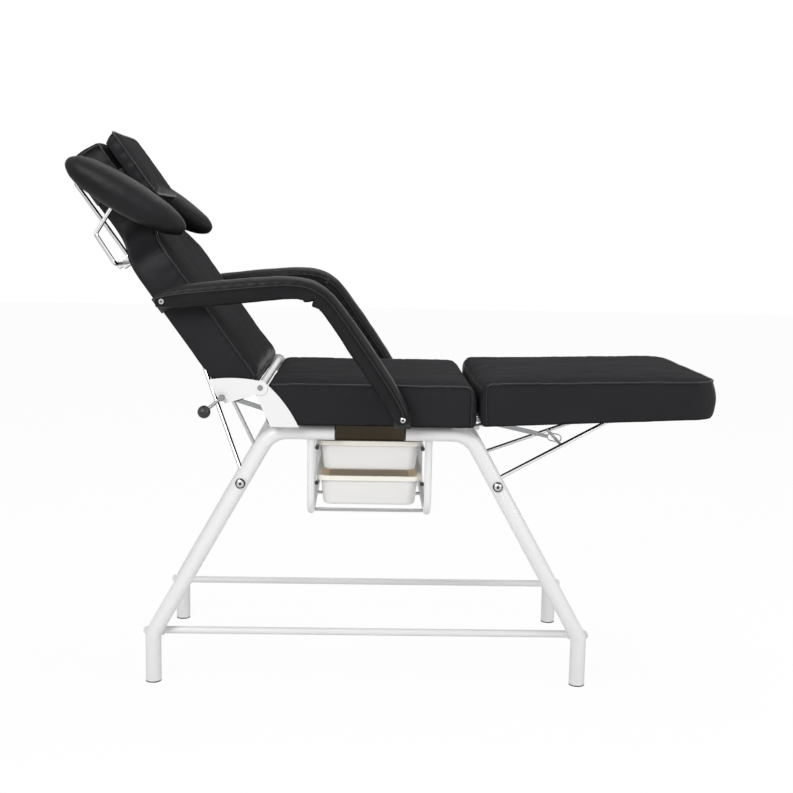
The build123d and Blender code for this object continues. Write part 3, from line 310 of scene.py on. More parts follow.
def moulded_plastic(name, colour, roughness):
    """Moulded plastic with a faint matt texture."""
    f = Finish(name)
    light = tuple(min(c * 1.2 + 0.004, 1.0) for c in colour)
    tone = f.colour_mix(f.noise(14.0, 3.0).between(0.35, 0.7) * 0.5, colour, light)
    texture = f.bump(f.noise(900.0, 2.0), 0.08, 0.0003)
    rough = roughness + f.noise(50.0, 2.0) * 0.1
    return f.surface(Base_Color=tone, Roughness=rough, Normal=texture)


def tray_plastic(name, look, rim_z, painted_glow):
    """Pale plastic, warmer on the rim, with a painted tan shade on its inner walls below the rim, and a
    painted glow of that tan there, standing in for light through the thin walls.
    """
    f = Finish(name)
    outside = tuple(look.tray_colour)
    height = f.axis("Z")
    rim = height.between(rim_z - 0.0125, rim_z - 0.0105)
    tone = f.colour_mix(rim, outside, (0.87, 0.845, 0.765))
    # Painted shade: the inner walls below the rim take a mottled tan in place of the pale outside.
    from_middle = f.axis("X") - MIDDLE_X
    inward = (f.facing("X") * from_middle + f.facing("Y") * f.axis("Y") * 0.5).between(0.0, -0.004)
    below = 1 - height.between(rim_z - 0.004, rim_z - 0.001)
    shade_mottle = f.noise(18.0, 3.0).between(0.3, 0.8)
    inside = f.colour_mix(shade_mottle * 0.4, (0.82, 0.70, 0.52), (0.70, 0.57, 0.40))
    tone = f.colour_mix(inward * below, tone, inside)
    texture = f.bump(f.noise(700.0, 2.0), 0.06, 0.0003)
    rough = 0.42 + f.noise(40.0, 2.0) * 0.12
    # Painted glow: the inner walls below the rim emit the tan, standing in for light let through the walls.
    through = f.colour_mix(inward * below, (0.0, 0.0, 0.0), inside)
    glow = {"Emission_Color": through, "Emission_Strength": painted_glow}
    return f.surface(Base_Color=tone, Roughness=rough, Normal=texture, **glow)


def lining(name):
    """Black non-woven lining over the boards: matted fibres and a faint grid of bonded dots."""
    f = Finish(name)
    fibres = f.noise(260.0, 5.0)
    dots = 1 - f.cells(420.0).between(0.15, 0.4)
    tone = f.colour_mix(fibres.between(0.35, 0.7), (0.006, 0.006, 0.006), (0.014, 0.014, 0.014))
    tone = f.colour_mix(dots * 0.4, tone, (0.004, 0.004, 0.004))
    felt = f.bump(fibres - dots * 0.3, 0.3, 0.0005)
    rough = 0.82 + fibres * 0.12
    return f.surface(Base_Color=tone, Roughness=rough, Normal=felt, Specular_IOR_Level=0.1)


def webbing(name):
    """Woven strap: two crossing sets of ribs."""
    f = Finish(name)
    settings = {"wave_type": "BANDS", "bands_direction": "Y"}
    sockets = {"Vector": f.place, "Scale": 160.0, "Distortion": 0.4}
    ribs = f.node("ShaderNodeTexWave", settings, sockets, out="Fac")
    cross = f.noise(700.0, 1.0)
    tone = f.colour_mix(ribs * 0.8, (0.008, 0.008, 0.009), (0.03, 0.03, 0.032))
    weave = f.bump(ribs + cross * 0.5, 0.4, 0.0005)
    return f.surface(Base_Color=tone, Roughness=0.8 + cross * 0.1, Normal=weave)


# Meshes


def new_piece(name, points, faces, material):
    """A smooth mesh with its faces outwards."""
    mesh = bpy.data.meshes.new(name)
    mesh.from_pydata([tuple(p) for p in points], [], faces)
    piece = bpy.data.objects.new(name, mesh)
    bpy.context.scene.collection.objects.link(piece)
    made = bmesh.new()
    made.from_mesh(mesh)
    bmesh.ops.recalc_face_normals(made, faces=made.faces)
    made.to_mesh(mesh)
    made.free()
    mesh.polygons.foreach_set("use_smooth", [True] * len(mesh.polygons))
    mesh.materials.append(material)
    return piece


def read_points(mesh):
    points = np.zeros(len(mesh.vertices) * 3)
    mesh.vertices.foreach_get("co", points)
    return points.reshape(-1, 3)


def write_points(mesh, points):
    mesh.vertices.foreach_set("co", np.asarray(points, float).ravel())
    mesh.update()


def read_normals(mesh):
    normals = np.zeros(len(mesh.vertices) * 3)
    mesh.vertex_normals.foreach_get("vector", normals)
    return normals.reshape(-1, 3)


def settled(piece):
    """The piece's modifiers turned into its own plain mesh."""
    graph = bpy.context.evaluated_depsgraph_get()
    graph.update()
    mesh = bpy.data.meshes.new_from_object(piece.evaluated_get(graph))
    piece.modifiers.clear()
    piece.data = mesh
    return piece


CLOTH_FRAMES = 20


def inflate(piece, sewn, pressure, cap):
    """Blows the cover out between its sewn lines, with cloth; the cap is the furthest a point may go."""
    start = read_points(piece.data)
    group = piece.vertex_groups.new(name="sewn")
    group.add([int(i) for i in sewn], 1.0, "REPLACE")
    cloth = piece.modifiers.new("cover", "CLOTH")
    cloth.settings.quality = 6
    cloth.settings.mass = 0.35
    cloth.settings.tension_stiffness = 30
    cloth.settings.compression_stiffness = 30
    cloth.settings.shear_stiffness = 12
    cloth.settings.bending_stiffness = 2
    cloth.settings.use_pressure = True
    cloth.settings.uniform_pressure_force = pressure
    cloth.settings.vertex_group_mass = "sewn"
    cloth.settings.effector_weights.gravity = 0
    cloth.collision_settings.use_collision = False
    scene = bpy.context.scene
    for step in range(1, CLOTH_FRAMES + 1):
        scene.frame_set(step)
    graph = bpy.context.evaluated_depsgraph_get()
    moved = read_points(piece.evaluated_get(graph).data) - start
    piece.modifiers.clear()
    piece.vertex_groups.clear()
    scene.frame_set(1)
    reach = np.maximum(np.linalg.norm(moved, axis=1), 1e-9)
    keep = cap * (1 - np.exp(-reach / cap)) / reach
    write_points(piece.data, start + moved * keep[:, None])


def subdivide(piece, levels, seams=(), crease=0.7):
    """Subdivision with the sewn edges held firm."""
    if len(seams):
        sewn = set(seams)
        values = [crease if sewn.issuperset(e.vertices) else 0.0 for e in piece.data.edges]
        held = piece.data.attributes.new("crease_edge", "FLOAT", "EDGE")
        held.data.foreach_set("value", values)
    smooth = piece.modifiers.new("smooth", "SUBSURF")
    smooth.levels = levels
    smooth.render_levels = levels
    settled(piece)


# How far a seam's dark shade reaches
SEAM_SHADE = 0.006


def gather(piece, lines, depth, run, wave):
    """Small puckers and a dark seam shade along the sewn lines."""
    tree = KDTree(sum(len(line) for line in lines))
    lengths = []
    for line in lines:
        travelled = 0.0
        for n, point in enumerate(line):
            if n:
                travelled += (point - line[n - 1]).length
            tree.insert(point, len(lengths))
            lengths.append(travelled)
    tree.balance()
    points = read_points(piece.data)
    normals = read_normals(piece.data)
    shade = np.zeros(len(points))
    for n, point in enumerate(points):
        near, index, away = tree.find(point)
        if away > run * 5:
            continue
        along = lengths[index]
        ripple = math.sin(along / wave + 3.0 * noise.noise(Vector(point) * 14.0))
        strength = noise.noise(Vector(point) * 5.0 + Vector((3.1, 0, 0))) * 0.5 + 0.6
        points[n] += normals[n] * depth * ripple * strength * math.exp(-((away / run - 1.0) ** 2))
        shade[n] = math.exp(-((away / SEAM_SHADE) ** 2))
    write_points(piece.data, points)
    seam = piece.data.attributes.get("seam") or piece.data.attributes.new("seam", "FLOAT", "POINT")
    seam.data.foreach_set("value", shade.astype(np.float32))


def creased(piece, size, depth, seed):
    """Broad, shallow unevenness of a cover over foam."""
    points = read_points(piece.data)
    normals = read_normals(piece.data)
    for n, point in enumerate(points):
        lift = noise.fractal(Vector(point) / size + Vector((seed, 0, 0)), 0.8, 2.0, 3)
        points[n] += normals[n] * depth * lift
    write_points(piece.data, points)


def snapped(piece, line, lift):
    """A line laid on the piece's surface."""
    mesh = piece.data
    tree = BVHTree.FromPolygons([v.co for v in mesh.vertices], [p.vertices for p in mesh.polygons])
    laid = []
    for point in line:
        near, normal, index, away = tree.find_nearest(point)
        laid.append(near + normal * lift)
    return laid


# Geometry Nodes: the piping and the stitches follow the sewn lines


def tree_with(name, inputs):
    """A Geometry Nodes tree that takes a line and the named inputs, and gives a mesh."""
    tree = bpy.data.node_groups.new(name, "GeometryNodeTree")
    tree.interface.new_socket("Line", in_out="INPUT", socket_type="NodeSocketGeometry")
    for label, kind, value in inputs:
        made = tree.interface.new_socket(label, in_out="INPUT", socket_type=kind)
        if value is not None:
            made.default_value = value
    tree.interface.new_socket("Mesh", in_out="OUTPUT", socket_type="NodeSocketGeometry")
    return tree


def add_node(tree, kind, settings=None, sockets=None):
    made = tree.nodes.new(kind)
    for key, value in (settings or {}).items():
        setattr(made, key, value)
    for key, value in (sockets or {}).items():
        if isinstance(value, bpy.types.NodeSocket):
            tree.links.new(value, made.inputs[key])
        else:
            made.inputs[key].default_value = value
    return made


def finish_tree(tree, mesh, material):
    real = add_node(tree, "GeometryNodeRealizeInstances", {}, {"Geometry": mesh})
    smooth = add_node(tree, "GeometryNodeSetShadeSmooth", {}, {"Geometry": real.outputs[0]})
    sockets = {"Geometry": smooth.outputs[0], "Material": material}
    dressed = add_node(tree, "GeometryNodeSetMaterial", {}, sockets)
    add_node(tree, "NodeGroupOutput", {}, {"Mesh": dressed.outputs[0]})


def piping_tree():
    """A round cord along each line."""
    inputs = [("Radius", "NodeSocketFloat", 0.002), ("Step", "NodeSocketFloat", 0.006)]
    tree = tree_with("Piping", inputs + [("Finish", "NodeSocketMaterial", None)])
    given = add_node(tree, "NodeGroupInput")
    curve = add_node(tree, "GeometryNodeMeshToCurve", {}, {"Mesh": given.outputs["Line"]})
    sockets = {"Curve": curve.outputs[0], "Length": given.outputs["Step"]}
    even = add_node(tree, "GeometryNodeResampleCurve", {"mode": "LENGTH"}, sockets)
    sockets = {"Resolution": 8, "Radius": given.outputs["Radius"]}
    ring = add_node(tree, "GeometryNodeCurvePrimitiveCircle", {}, sockets)
    sockets = {"Curve": even.outputs[0], "Profile Curve": ring.outputs[0], "Fill Caps": True}
    cord = add_node(tree, "GeometryNodeCurveToMesh", {}, sockets)
    finish_tree(tree, cord.outputs[0], given.outputs["Finish"])
    return tree


def stitch_tree():
    """Short threads laid end to end beside each line."""
    inputs = [("Pitch", "NodeSocketFloat", 0.006), ("Thread", "NodeSocketVector", None)]
    tree = tree_with("Stitches", inputs + [("Finish", "NodeSocketMaterial", None)])
    given = add_node(tree, "NodeGroupInput")
    curve = add_node(tree, "GeometryNodeMeshToCurve", {}, {"Mesh": given.outputs["Line"]})
    sockets = {"Curve": curve.outputs[0], "Length": given.outputs["Pitch"]}
    spots = add_node(tree, "GeometryNodeCurveToPoints", {"mode": "LENGTH"}, sockets)
    bead = add_node(tree, "GeometryNodeMeshUVSphere", {}, {"Segments": 6, "Rings": 4, "Radius": 1.0})
    sockets = {"Points": spots.outputs["Points"], "Instance": bead.outputs[0]}
    sockets.update({"Rotation": spots.outputs["Rotation"], "Scale": given.outputs["Thread"]})
    threads = add_node(tree, "GeometryNodeInstanceOnPoints", {}, sockets)
    finish_tree(tree, threads.outputs[0], given.outputs["Finish"])
    return tree


def along_lines(name, lines, tree_name, values):
    """A plain mesh that the named tree makes along the lines."""
    tree = bpy.data.node_groups[tree_name]
    points, edges = [], []
    for line in lines:
        first = len(points)
        points.extend(line)
        edges.extend((first + n, first + n + 1) for n in range(len(line) - 1))
    mesh = bpy.data.meshes.new(name)
    mesh.from_pydata([tuple(p) for p in points], edges, [])
    piece = bpy.data.objects.new(name, mesh)
    bpy.context.scene.collection.objects.link(piece)
    made = piece.modifiers.new("along", "NODES")
    made.node_group = tree
    names = {s.name: s.identifier for s in tree.interface.items_tree if s.in_out == "INPUT"}
    for label, value in values.items():
        made[names[label]] = value
    return settled(piece)


def piping(name, lines, look, share, step):
    """The cord sewn into a cover's seams; the share of its diameter is its radius."""
    values = {"Radius": look.piping_diameter * share, "Step": step, "Finish": piping_material(look)}
    return along_lines(name, lines, "Piping", values)


def trim(name, body, lines, look):
    """Piping along a cover's sewn lines, riding with the body."""
    cord = piping(name + "_piping", lines, look, 0.5, 0.006)
    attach(cord, body)


def stitches(name, body, lines):
    """A row of threads along the lines, riding with the body."""
    values = {"Pitch": 0.0052, "Thread": (0.0003, 0.0003, 0.0019), "Finish": thread_material()}
    row = along_lines(name + "_stitches", lines, "Stitches", values)
    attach(row, body)


# Cushions


def rounded_in(distance, radius):
    """How far a round corner has drawn back at this distance from the end."""
    if distance >= radius:
        return 0.0
    return radius - math.sqrt(max(radius**2 - (radius - distance) ** 2, 0.0))


def spread(n, count):
    """The nth of count steps from -1 to 1, drawn together towards both ends."""
    return -math.cos(math.pi * n / count) * 0.35 + (2 * n / count - 1) * 0.65


def grid(rows, columns):
    """The faces of a grid of points, and the loop round its rim."""
    across = columns + 1
    faces = []
    for i in range(rows):
        for n in range(i * across, i * across + columns):
            faces.append((n, n + 1, n + across + 1, n + across))
    last = rows * across
    rim = list(range(across))
    rim += [i * across + columns for i in range(1, rows + 1)]
    rim += [last + j for j in range(columns - 1, -1, -1)]
    rim += [i * across for i in range(rows - 1, 0, -1)]
    return faces, rim


def band(loop, ring):
    """The faces between one closed loop of points and the next."""
    count = len(ring)
    turned = [(n + 1) % count for n in range(count)]
    return [(loop[n], loop[m], ring[m], ring[n]) for n, m in enumerate(turned)]


def tube(rings, around):
    """The faces of a tube through rings of points, closed at both ends."""
    loops = [list(range(n * around, (n + 1) * around)) for n in range(rings)]
    faces = [face for n in range(rings - 1) for face in band(loops[n], loops[n + 1])]
    return faces + [tuple(loops[0]), tuple(reversed(loops[-1]))]


def closing_faces(loop, columns, spans):
    """Strips from side to side that close the underside inside its rim."""
    faces = [tuple(loop[: columns + 1]) + (loop[columns + 1], loop[-1])]
    for i in range(1, spans - 1):
        faces.append((loop[-i], loop[columns + i], loop[columns + i + 1], loop[-i - 1]))
    far = columns + spans
    faces.append(tuple(loop[far - 1 : far + columns + 2]))
    return faces


def even_rows(low, high, low_round, high_round, step):
    """Stations along a cushion, closer together round its end corners."""
    quarter = [1 - math.cos(math.pi / 2 * n / 7) for n in range(8)]
    start = [low + low_round * q for q in quarter]
    stop = [high - high_round * q for q in reversed(quarter)]
    count = max(2, int((stop[0] - start[-1]) / step))
    middle = [start[-1] + (stop[0] - start[-1]) * n / count for n in range(1, count)]
    return start + middle + stop


# The cushions' mesh size, the seams' place at a rolled end, how far the sides tuck under,
# the seam's lowest point, and how far the cloth may swell
CUSHION_STEP = 0.008
SEAM_INSET = 0.011
TUCK = 0.004
SEAM_FOOT = 0.006
CUSHION_SWELL = 0.006


def cushion_mesh(shape):
    """A crowned block over its board. Each end is rolled over or boxed in, and the sides draw in
    between the corners. It gives the points, the faces, the sewn points and the sewn lines."""
    low, high, place = shape["low"], shape["high"], shape["place"]
    half, rise = shape["half"], shape["rise"]
    (low_kind, low_roll, low_corner), (high_kind, high_roll, high_corner) = shape["ends"]
    rows = even_rows(low, high, low_corner, high_corner, CUSHION_STEP)
    columns = int(2 * HALF_WIDTH / CUSHION_STEP)
    middle, reach = (low + high) / 2, (high - low) / 2

    def width(a):
        drawn = rounded_in(a - low, low_corner) + rounded_in(high - a, high_corner)
        waist = shape["pinch"] * (1 - ((a - middle) / reach) ** 2)
        return half(a) - drawn - waist

    def foam(a):
        near, far = shape["foam"]
        return near + (far - near) * (a - low) / (high - low)

    def rim_height(a):
        fall = 0.0
        if low_kind == "rolled":
            fall += rounded_in(a - low, low_roll)
        if high_kind == "rolled":
            fall += rounded_in(high - a, high_roll)
        return foam(a) - fall

    def eased(distance):
        t = min(max(distance / shape["run"], 0.0), 1.0)
        return math.sqrt(1 - (1 - t) ** 2) if t < 1 else 1.0

    def top(a, b):
        slope = (half(a + 0.002) - half(a - 0.002)) / 0.004
        crown = eased((width(a) - abs(b)) / math.hypot(1.0, slope))
        if low_kind == "boxed":
            crown *= eased(a - low)
        if high_kind == "boxed":
            crown *= eased(high - a)
        return rim_height(a) + rise * crown

    def on_side(a, b):
        return abs(b) >= width(a) - 1e-6

    def seamed(a):
        """Whether the side seams run here: they stop short of a rolled end."""
        starts = low_kind == "boxed" or a > low + SEAM_INSET
        return starts and (high_kind == "boxed" or a < high - SEAM_INSET)

    plan = [(a, spread(j, columns) * width(a)) for a in rows for j in range(columns + 1)]
    points = [place(a, b, top(a, b)) for a, b in plan]
    faces, rim = grid(len(rows) - 1, columns)
    flat = np.array([plan[n] for n in rim])
    run = np.roll(flat, -1, 0) - np.roll(flat, 1, 0)
    run /= np.maximum(np.linalg.norm(run, axis=1), 1e-9)[:, None]
    outward = np.stack([run[:, 1], -run[:, 0]], 1)
    if np.sum(outward[:, 1] * flat[:, 1]) < 0:
        outward = -outward
    heights = [rim_height(a) if on_side(a, b) else top(a, b) for a, b in flat]
    levels = max(4, int(foam(low) / CUSHION_STEP))
    loop = rim

    def next_ring(spots):
        ring = list(range(len(points), len(points) + len(rim)))
        points.extend(spots)
        faces.extend(band(loop, ring))
        return ring

    for k in range(1, levels + 1):
        t = k / levels
        tuck = TUCK if k == levels else 0.0
        spots = []
        for (a, b), (x, y), h in zip(flat, outward, heights):
            bulge = shape["belly"][0 if x < 0 else 1] * math.sin(math.pi * t) - tuck
            spots.append(place(a + x * bulge, b - y * tuck, h * (1 - t)))
        loop = next_ring(spots)
    sewn = set(loop)
    for level in (0.0, BOARD):
        spots = []
        for (a, b), (x, y) in zip(flat, outward):
            spots.append(place(a - x * BOARD_INSET, b - y * BOARD_INSET, level))
        loop = next_ring(spots)
        sewn.update(loop)
    faces += closing_faces(loop, columns, len(rows) - 1)

    lines = []
    for side in (-1, 1):
        line = []
        if low_kind == "rolled":
            a = low + SEAM_INSET
            line += [place(a, side * width(a), c) for c in np.linspace(SEAM_FOOT, foam(low) - low_roll, 12)]
        stations = [a for a in np.linspace(low, high, 160) if seamed(a)]
        line += [place(a, side * width(a), rim_height(a)) for a in stations]
        if high_kind == "rolled":
            a = high - SEAM_INSET
            line += [place(a, side * width(a), c) for c in np.linspace(foam(high) - high_roll, SEAM_FOOT, 12)]
        lines.append(line)
    if high_kind == "boxed":
        finish = [place(high, b, foam(high)) for b in np.linspace(-width(high), width(high), 60)]
        lines = [lines[0] + finish + lines[1][::-1]]
    for n, (a, b) in enumerate(plan):
        if on_side(a, b) and seamed(a) or high_kind == "boxed" and a >= high - 1e-6:
            sewn.add(n)
    return points, faces, sorted(sewn), lines


# The back's shoulders: where they start, how long they are, and the head's half width
SHOULDER_START, SHOULDER_RUN, HEAD_HALF = 0.350, 0.170, 0.152
SHOULDER_STEPS = np.linspace(0, 1, 160)
SHOULDER_EASE = SHOULDER_STEPS**2 * (3 - 2 * SHOULDER_STEPS)
SHOULDER_UP = SHOULDER_START + SHOULDER_RUN * SHOULDER_EASE
SHOULDER_UP += 0.316 * SHOULDER_STEPS * (1 - SHOULDER_STEPS) * (1 - 2 * SHOULDER_STEPS)
SHOULDER_HALF = HALF_WIDTH - (HALF_WIDTH - HEAD_HALF) * SHOULDER_EASE


def back_half(a):
    """Half width of the back: wide at the seat, drawn in by its shoulders to the head."""
    return float(np.interp(a, SHOULDER_UP, SHOULDER_HALF))


def seat_half(a):
    return HALF_WIDTH


# Each cushion's body, frame of reference and ends along it, its half width, its foam's depth at each
# end, its crown's rise and run, how far its sides draw in and its ends bulge, and for each end its
# kind, how far it rolls over, and its corner radius
CUSHIONS = {
    "seat_cushion": {
        "body": "frame",
        "place": seat_place,
        "low": -0.244,
        "high": 0.248,
        "half": seat_half,
        "foam": (FOAM, FOAM),
        "rise": 0.005,
        "run": 0.055,
        "pinch": 0.006,
        "belly": (0.006, 0.003),
        "ends": (("rolled", 0.016, 0.018), ("rolled", 0.028, 0.018)),
    },
    "back_cushion": {
        "body": "back",
        "place": back_place,
        "low": 0.014,
        "high": 0.700,
        "half": back_half,
        "foam": (BACK_FOAM, BACK_FOAM),
        "rise": 0.009,
        "run": 0.055,
        "pinch": 0.003,
        "belly": (0.014, 0.004),
        "ends": (("rolled", 0.020, 0.018), ("rolled", 0.020, 0.050)),
    },
    "leg_rest_cushion": {
        "body": "leg_rest",
        "place": rest_place,
        "low": 0.008,
        "high": 0.567,
        "half": seat_half,
        "foam": (FOAM + 0.005, FOAM - 0.008),
        "rise": 0.006,
        "run": 0.060,
        "pinch": 0.006,
        "belly": (0.003, 0.008),
        "ends": (("rolled", 0.026, 0.018), ("boxed", 0.0, 0.054)),
    },
}

# A cover stays this near to the solids' sides
SIDE_LIMIT = 0.2978


def make_cushion(name, look):
    """One cushion's cover with its piping and stitches."""
    shape = CUSHIONS[name]
    points, faces, sewn, lines = cushion_mesh(shape)
    cover = cover_material(look)
    piece = new_piece(name.replace("_cushion", "_upholstery"), points, faces, cover)
    inflate(piece, sewn, look.pressure, CUSHION_SWELL)
    held = read_points(piece.data)
    held[:, 1] = np.clip(held[:, 1], -SIDE_LIMIT, SIDE_LIMIT)
    write_points(piece.data, held)
    subdivide(piece, 1, sewn)
    creased(piece, 0.09, 0.0012, len(name))
    gather(piece, lines, 0.0007, 0.011, 0.0042)
    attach(piece, shape["body"])
    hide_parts(name)
    trim(piece.name, shape["body"], [snapped(piece, line, 0.0008) for line in lines], look)
    below = Vector((0, 0, -0.004))
    beside = [snapped(piece, [p + below for p in line], 0.0001) for line in lines]
    stitches(piece.name, shape["body"], beside)


# Covers made of sections along a path


def smooth_path(points, count):
    """Even stations on a Catmull-Rom curve through rows of numbers."""
    rows = np.array(points, float)
    rows = np.vstack([2 * rows[0] - rows[1], rows, 2 * rows[-1] - rows[-2]])
    made = []
    spans = len(rows) - 3
    for n in range(count):
        place = n / (count - 1) * spans
        k = min(int(place), spans - 1)
        t = place - k
        p0, p1, p2, p3 = rows[k : k + 4]
        curved = 2 * p1 + (p2 - p0) * t + (2 * p0 - 5 * p1 + 4 * p2 - p3) * t**2
        made.append(0.5 * (curved + (3 * p1 - p0 - 3 * p2 + p3) * t**3))
    return made


# The armrest's upper and lower edge in pairs, X and Z in millimetres from the chair's middle
ARM_PAIRS = (
    (-494, 938, -491, 922),
    (-486, 955, -484, 919),
    (-440, 970, -440, 920),
    (-345, 983, -345, 927),
    (-255, 992, -255, 937),
    (-195, 995, -200, 943),
    (-145, 989, -160, 941),
    (-109, 972, -136, 930),
    (-74, 938, -108, 906),
    (-5, 844, -50, 822),
    (56, 753, 10, 738),
    (86, 697, 42, 692),
    (91, 668, 54, 664),
    (88, 657, 62, 657),
)


# The sleeve: its width, how far its inner face stands over the arm bars, the seam's share of its
# height, and how square it is above and below the seam
ARM_WIDTH = 0.050
ARM_LINING = 0.0022
ARM_SEAM_SHARE = 0.62
ARM_DOME, ARM_UNDER = 2.3, 4.5
ARM_STATIONS, ARM_AROUND = 220, 40


def section(turn):
    """A point of the padded section: domed above the seam, flatter below it."""
    c, s = math.cos(turn), math.sin(turn)
    power = 2 / (ARM_DOME if s > 0 else ARM_UNDER)
    return math.copysign(abs(c) ** power, c), math.copysign(abs(s) ** power, s)


def armrest_mesh(side, inner):
    """The padded sleeve of one armrest, over the elbow in one piece."""
    stations = smooth_path(ARM_PAIRS, ARM_STATIONS)
    middle_y = side * (inner + ARM_WIDTH / 2)
    points = []
    for n, (tx, tz, bx, bz) in enumerate(stations):
        high = Vector(((tx / 1000) + MIDDLE_X, 0, tz / 1000))
        low = Vector(((bx / 1000) + MIDDLE_X, 0, bz / 1000))
        ends = min(min(n, ARM_STATIONS - 1 - n) / 8, 1.0)
        close = min(1.0, math.sqrt(1 - (1 - ends) ** 2) * 0.75 + 0.25)
        up = high - low
        belt = low + up * ARM_SEAM_SHARE
        for k in range(ARM_AROUND):
            across, rise = section(2 * math.pi * k / ARM_AROUND)
            spot = belt + up * ((1 - ARM_SEAM_SHARE) if rise > 0 else ARM_SEAM_SHARE) * rise
            spot.y = middle_y + across * ARM_WIDTH / 2 * close * (1.0 if rise > -0.2 else 1.0 + 0.05 * rise)
            if across * side < 0:
                spot.y -= side * ARM_LINING * min(1.0, -across * side * 1.4)
            points.append(spot)
    rows = [range(k, len(points), ARM_AROUND) for k in (0, ARM_AROUND // 2)]
    sewn = {n for row in rows for n in row}
    sewn.update(range(ARM_AROUND), range(len(points) - ARM_AROUND, len(points)))
    lines = [[points[n].copy() for n in row][6:-6] for row in rows]
    return points, tube(ARM_STATIONS, ARM_AROUND), sorted(sewn), lines


def make_armrest(side, label, look):
    """One armrest's sleeve and piping, bending where its two bars meet."""
    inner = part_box("lower_arm_pad_" + label)
    near = min(abs(inner[0].y), abs(inner[1].y))
    points, faces, sewn, lines = armrest_mesh(side, near)
    piece = new_piece("armrest_cover_" + label, points, faces, sleeve_material(look))
    inflate(piece, sewn, look.pressure * 0.5, 0.004)
    subdivide(piece, 1, sewn, 0.5)
    creased(piece, 0.05, 0.0009, 5 + side)
    gather(piece, lines, 0.0006, 0.008, 0.0045)
    elbow_folds(piece)
    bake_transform(piece)
    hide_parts("lower_arm_pad_" + label, "upper_arm_pad_" + label)
    laid = [snapped(piece, line, 0.0002) for line in lines]
    cord = piping("armrest_piping_" + label, laid, look, 0.35, 0.005)
    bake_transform(cord)


def hump(distance, width):
    """1 at no distance, fading over the width."""
    return np.exp(-((distance / width) ** 2))


def elbow_folds(piece):
    """The notch under the elbow where the two padded parts meet, its lips, and the creases beside it."""
    points = read_points(piece.data)
    crook = np.array([MIDDLE_X - 0.141, 0, 0.936])
    outward = np.array([0.70, 0, 0.71])
    down_arm = np.array([0.71, 0, -0.70])
    away = points - crook
    side = away @ down_arm + np.sin(points[:, 1] * 190.0) * 0.0012
    deep = np.maximum(away @ outward, 0.0)
    notch = 0.0085 * hump(side, 0.0042) * hump(deep, 0.016)
    lips = 0.0030 * hump(np.abs(side) - 0.0105, 0.0055) * hump(deep, 0.010)
    creases = np.sin(side * 620.0) * hump(side, 0.026) * hump(deep, 0.018)
    points += outward * (notch - lips + 0.0009 * creases)[:, None]
    write_points(piece.data, points)


# Spindle arm pads at the head end

PAD_PROFILE = (
    (-0.5, 0.06),
    (-0.49, 0.26),
    (-0.455, 0.46),
    (-0.38, 0.68),
    (-0.22, 0.88),
    (0.05, 1.0),
    (0.26, 0.9),
    (0.4, 0.68),
    (0.465, 0.44),
    (0.495, 0.22),
    (0.5, 0.06),
)


# A pad's length and thickness, its place up the back, across and in front, its shift along X,
# its tilt from the back's own line, and the points round it
PAD_LENGTH, PAD_THICK = 0.313, 0.087
PAD_UP, PAD_OUT, PAD_FRONT = 0.542, 0.243, -0.0042
PAD_SHIFT = 0.0035
PAD_TILT = math.radians(24.3)
PAD_ROWS, PAD_AROUND = 90, 48


def make_arm_pad(side, label, look):
    """A plump spindle, rounder above than below."""
    centre = back_point(PAD_UP, side * PAD_OUT, PAD_FRONT) + Vector((PAD_SHIFT, 0, 0))
    turn = math.pi - BACK_ANGLE + PAD_TILT
    along = Vector((math.cos(turn), 0, math.sin(turn)))
    up = Vector((math.sin(turn), 0, -math.cos(turn)))
    points = []
    for share, wide in smooth_path(PAD_PROFILE, PAD_ROWS):
        radius = PAD_THICK / 2 * wide
        for k in range(PAD_AROUND):
            angle = 2 * math.pi * k / PAD_AROUND
            spot = centre + along * (share * PAD_LENGTH)
            spot += up * (math.sin(angle) * radius) + Vector((0, math.cos(angle) * radius, 0))
            points.append(spot)
    faces = tube(PAD_ROWS, PAD_AROUND)
    piece = new_piece("arm_pad_cover_" + label, points, faces, sleeve_material(look))
    last = len(points) - PAD_AROUND * 3
    sewn = [n for n in range(len(points)) if n < PAD_AROUND * 3 or n >= last]
    inflate(piece, sewn, look.pressure * 0.3, 0.002)
    subdivide(piece, 1)
    creased(piece, 0.06, 0.0012, 9 + side)
    tips = [[centre + along * (end * PAD_LENGTH / 2 * 0.985)] * 2 for end in (-1, 1)]
    gather(piece, tips, 0.0006, 0.012, 0.004)
    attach(piece, "pad_holder_" + label)
    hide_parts("arm_pad_" + label)


# Head pillow: its ends up the back, its half width, its levels in front of the back, and its shape

PILLOW_LOW, PILLOW_HIGH, PILLOW_HALF = 0.514, 0.692, 0.155
PILLOW_UNDER, PILLOW_RIM, PILLOW_DOME = 0.0185, 0.0485, 0.007
PILLOW_LEAN = 0.012
PILLOW_CORNER = 0.016
PILLOW_BULGE = 0.0022
PILLOW_ROWS, PILLOW_COLUMNS, PILLOW_LEVELS = 40, 60, 6


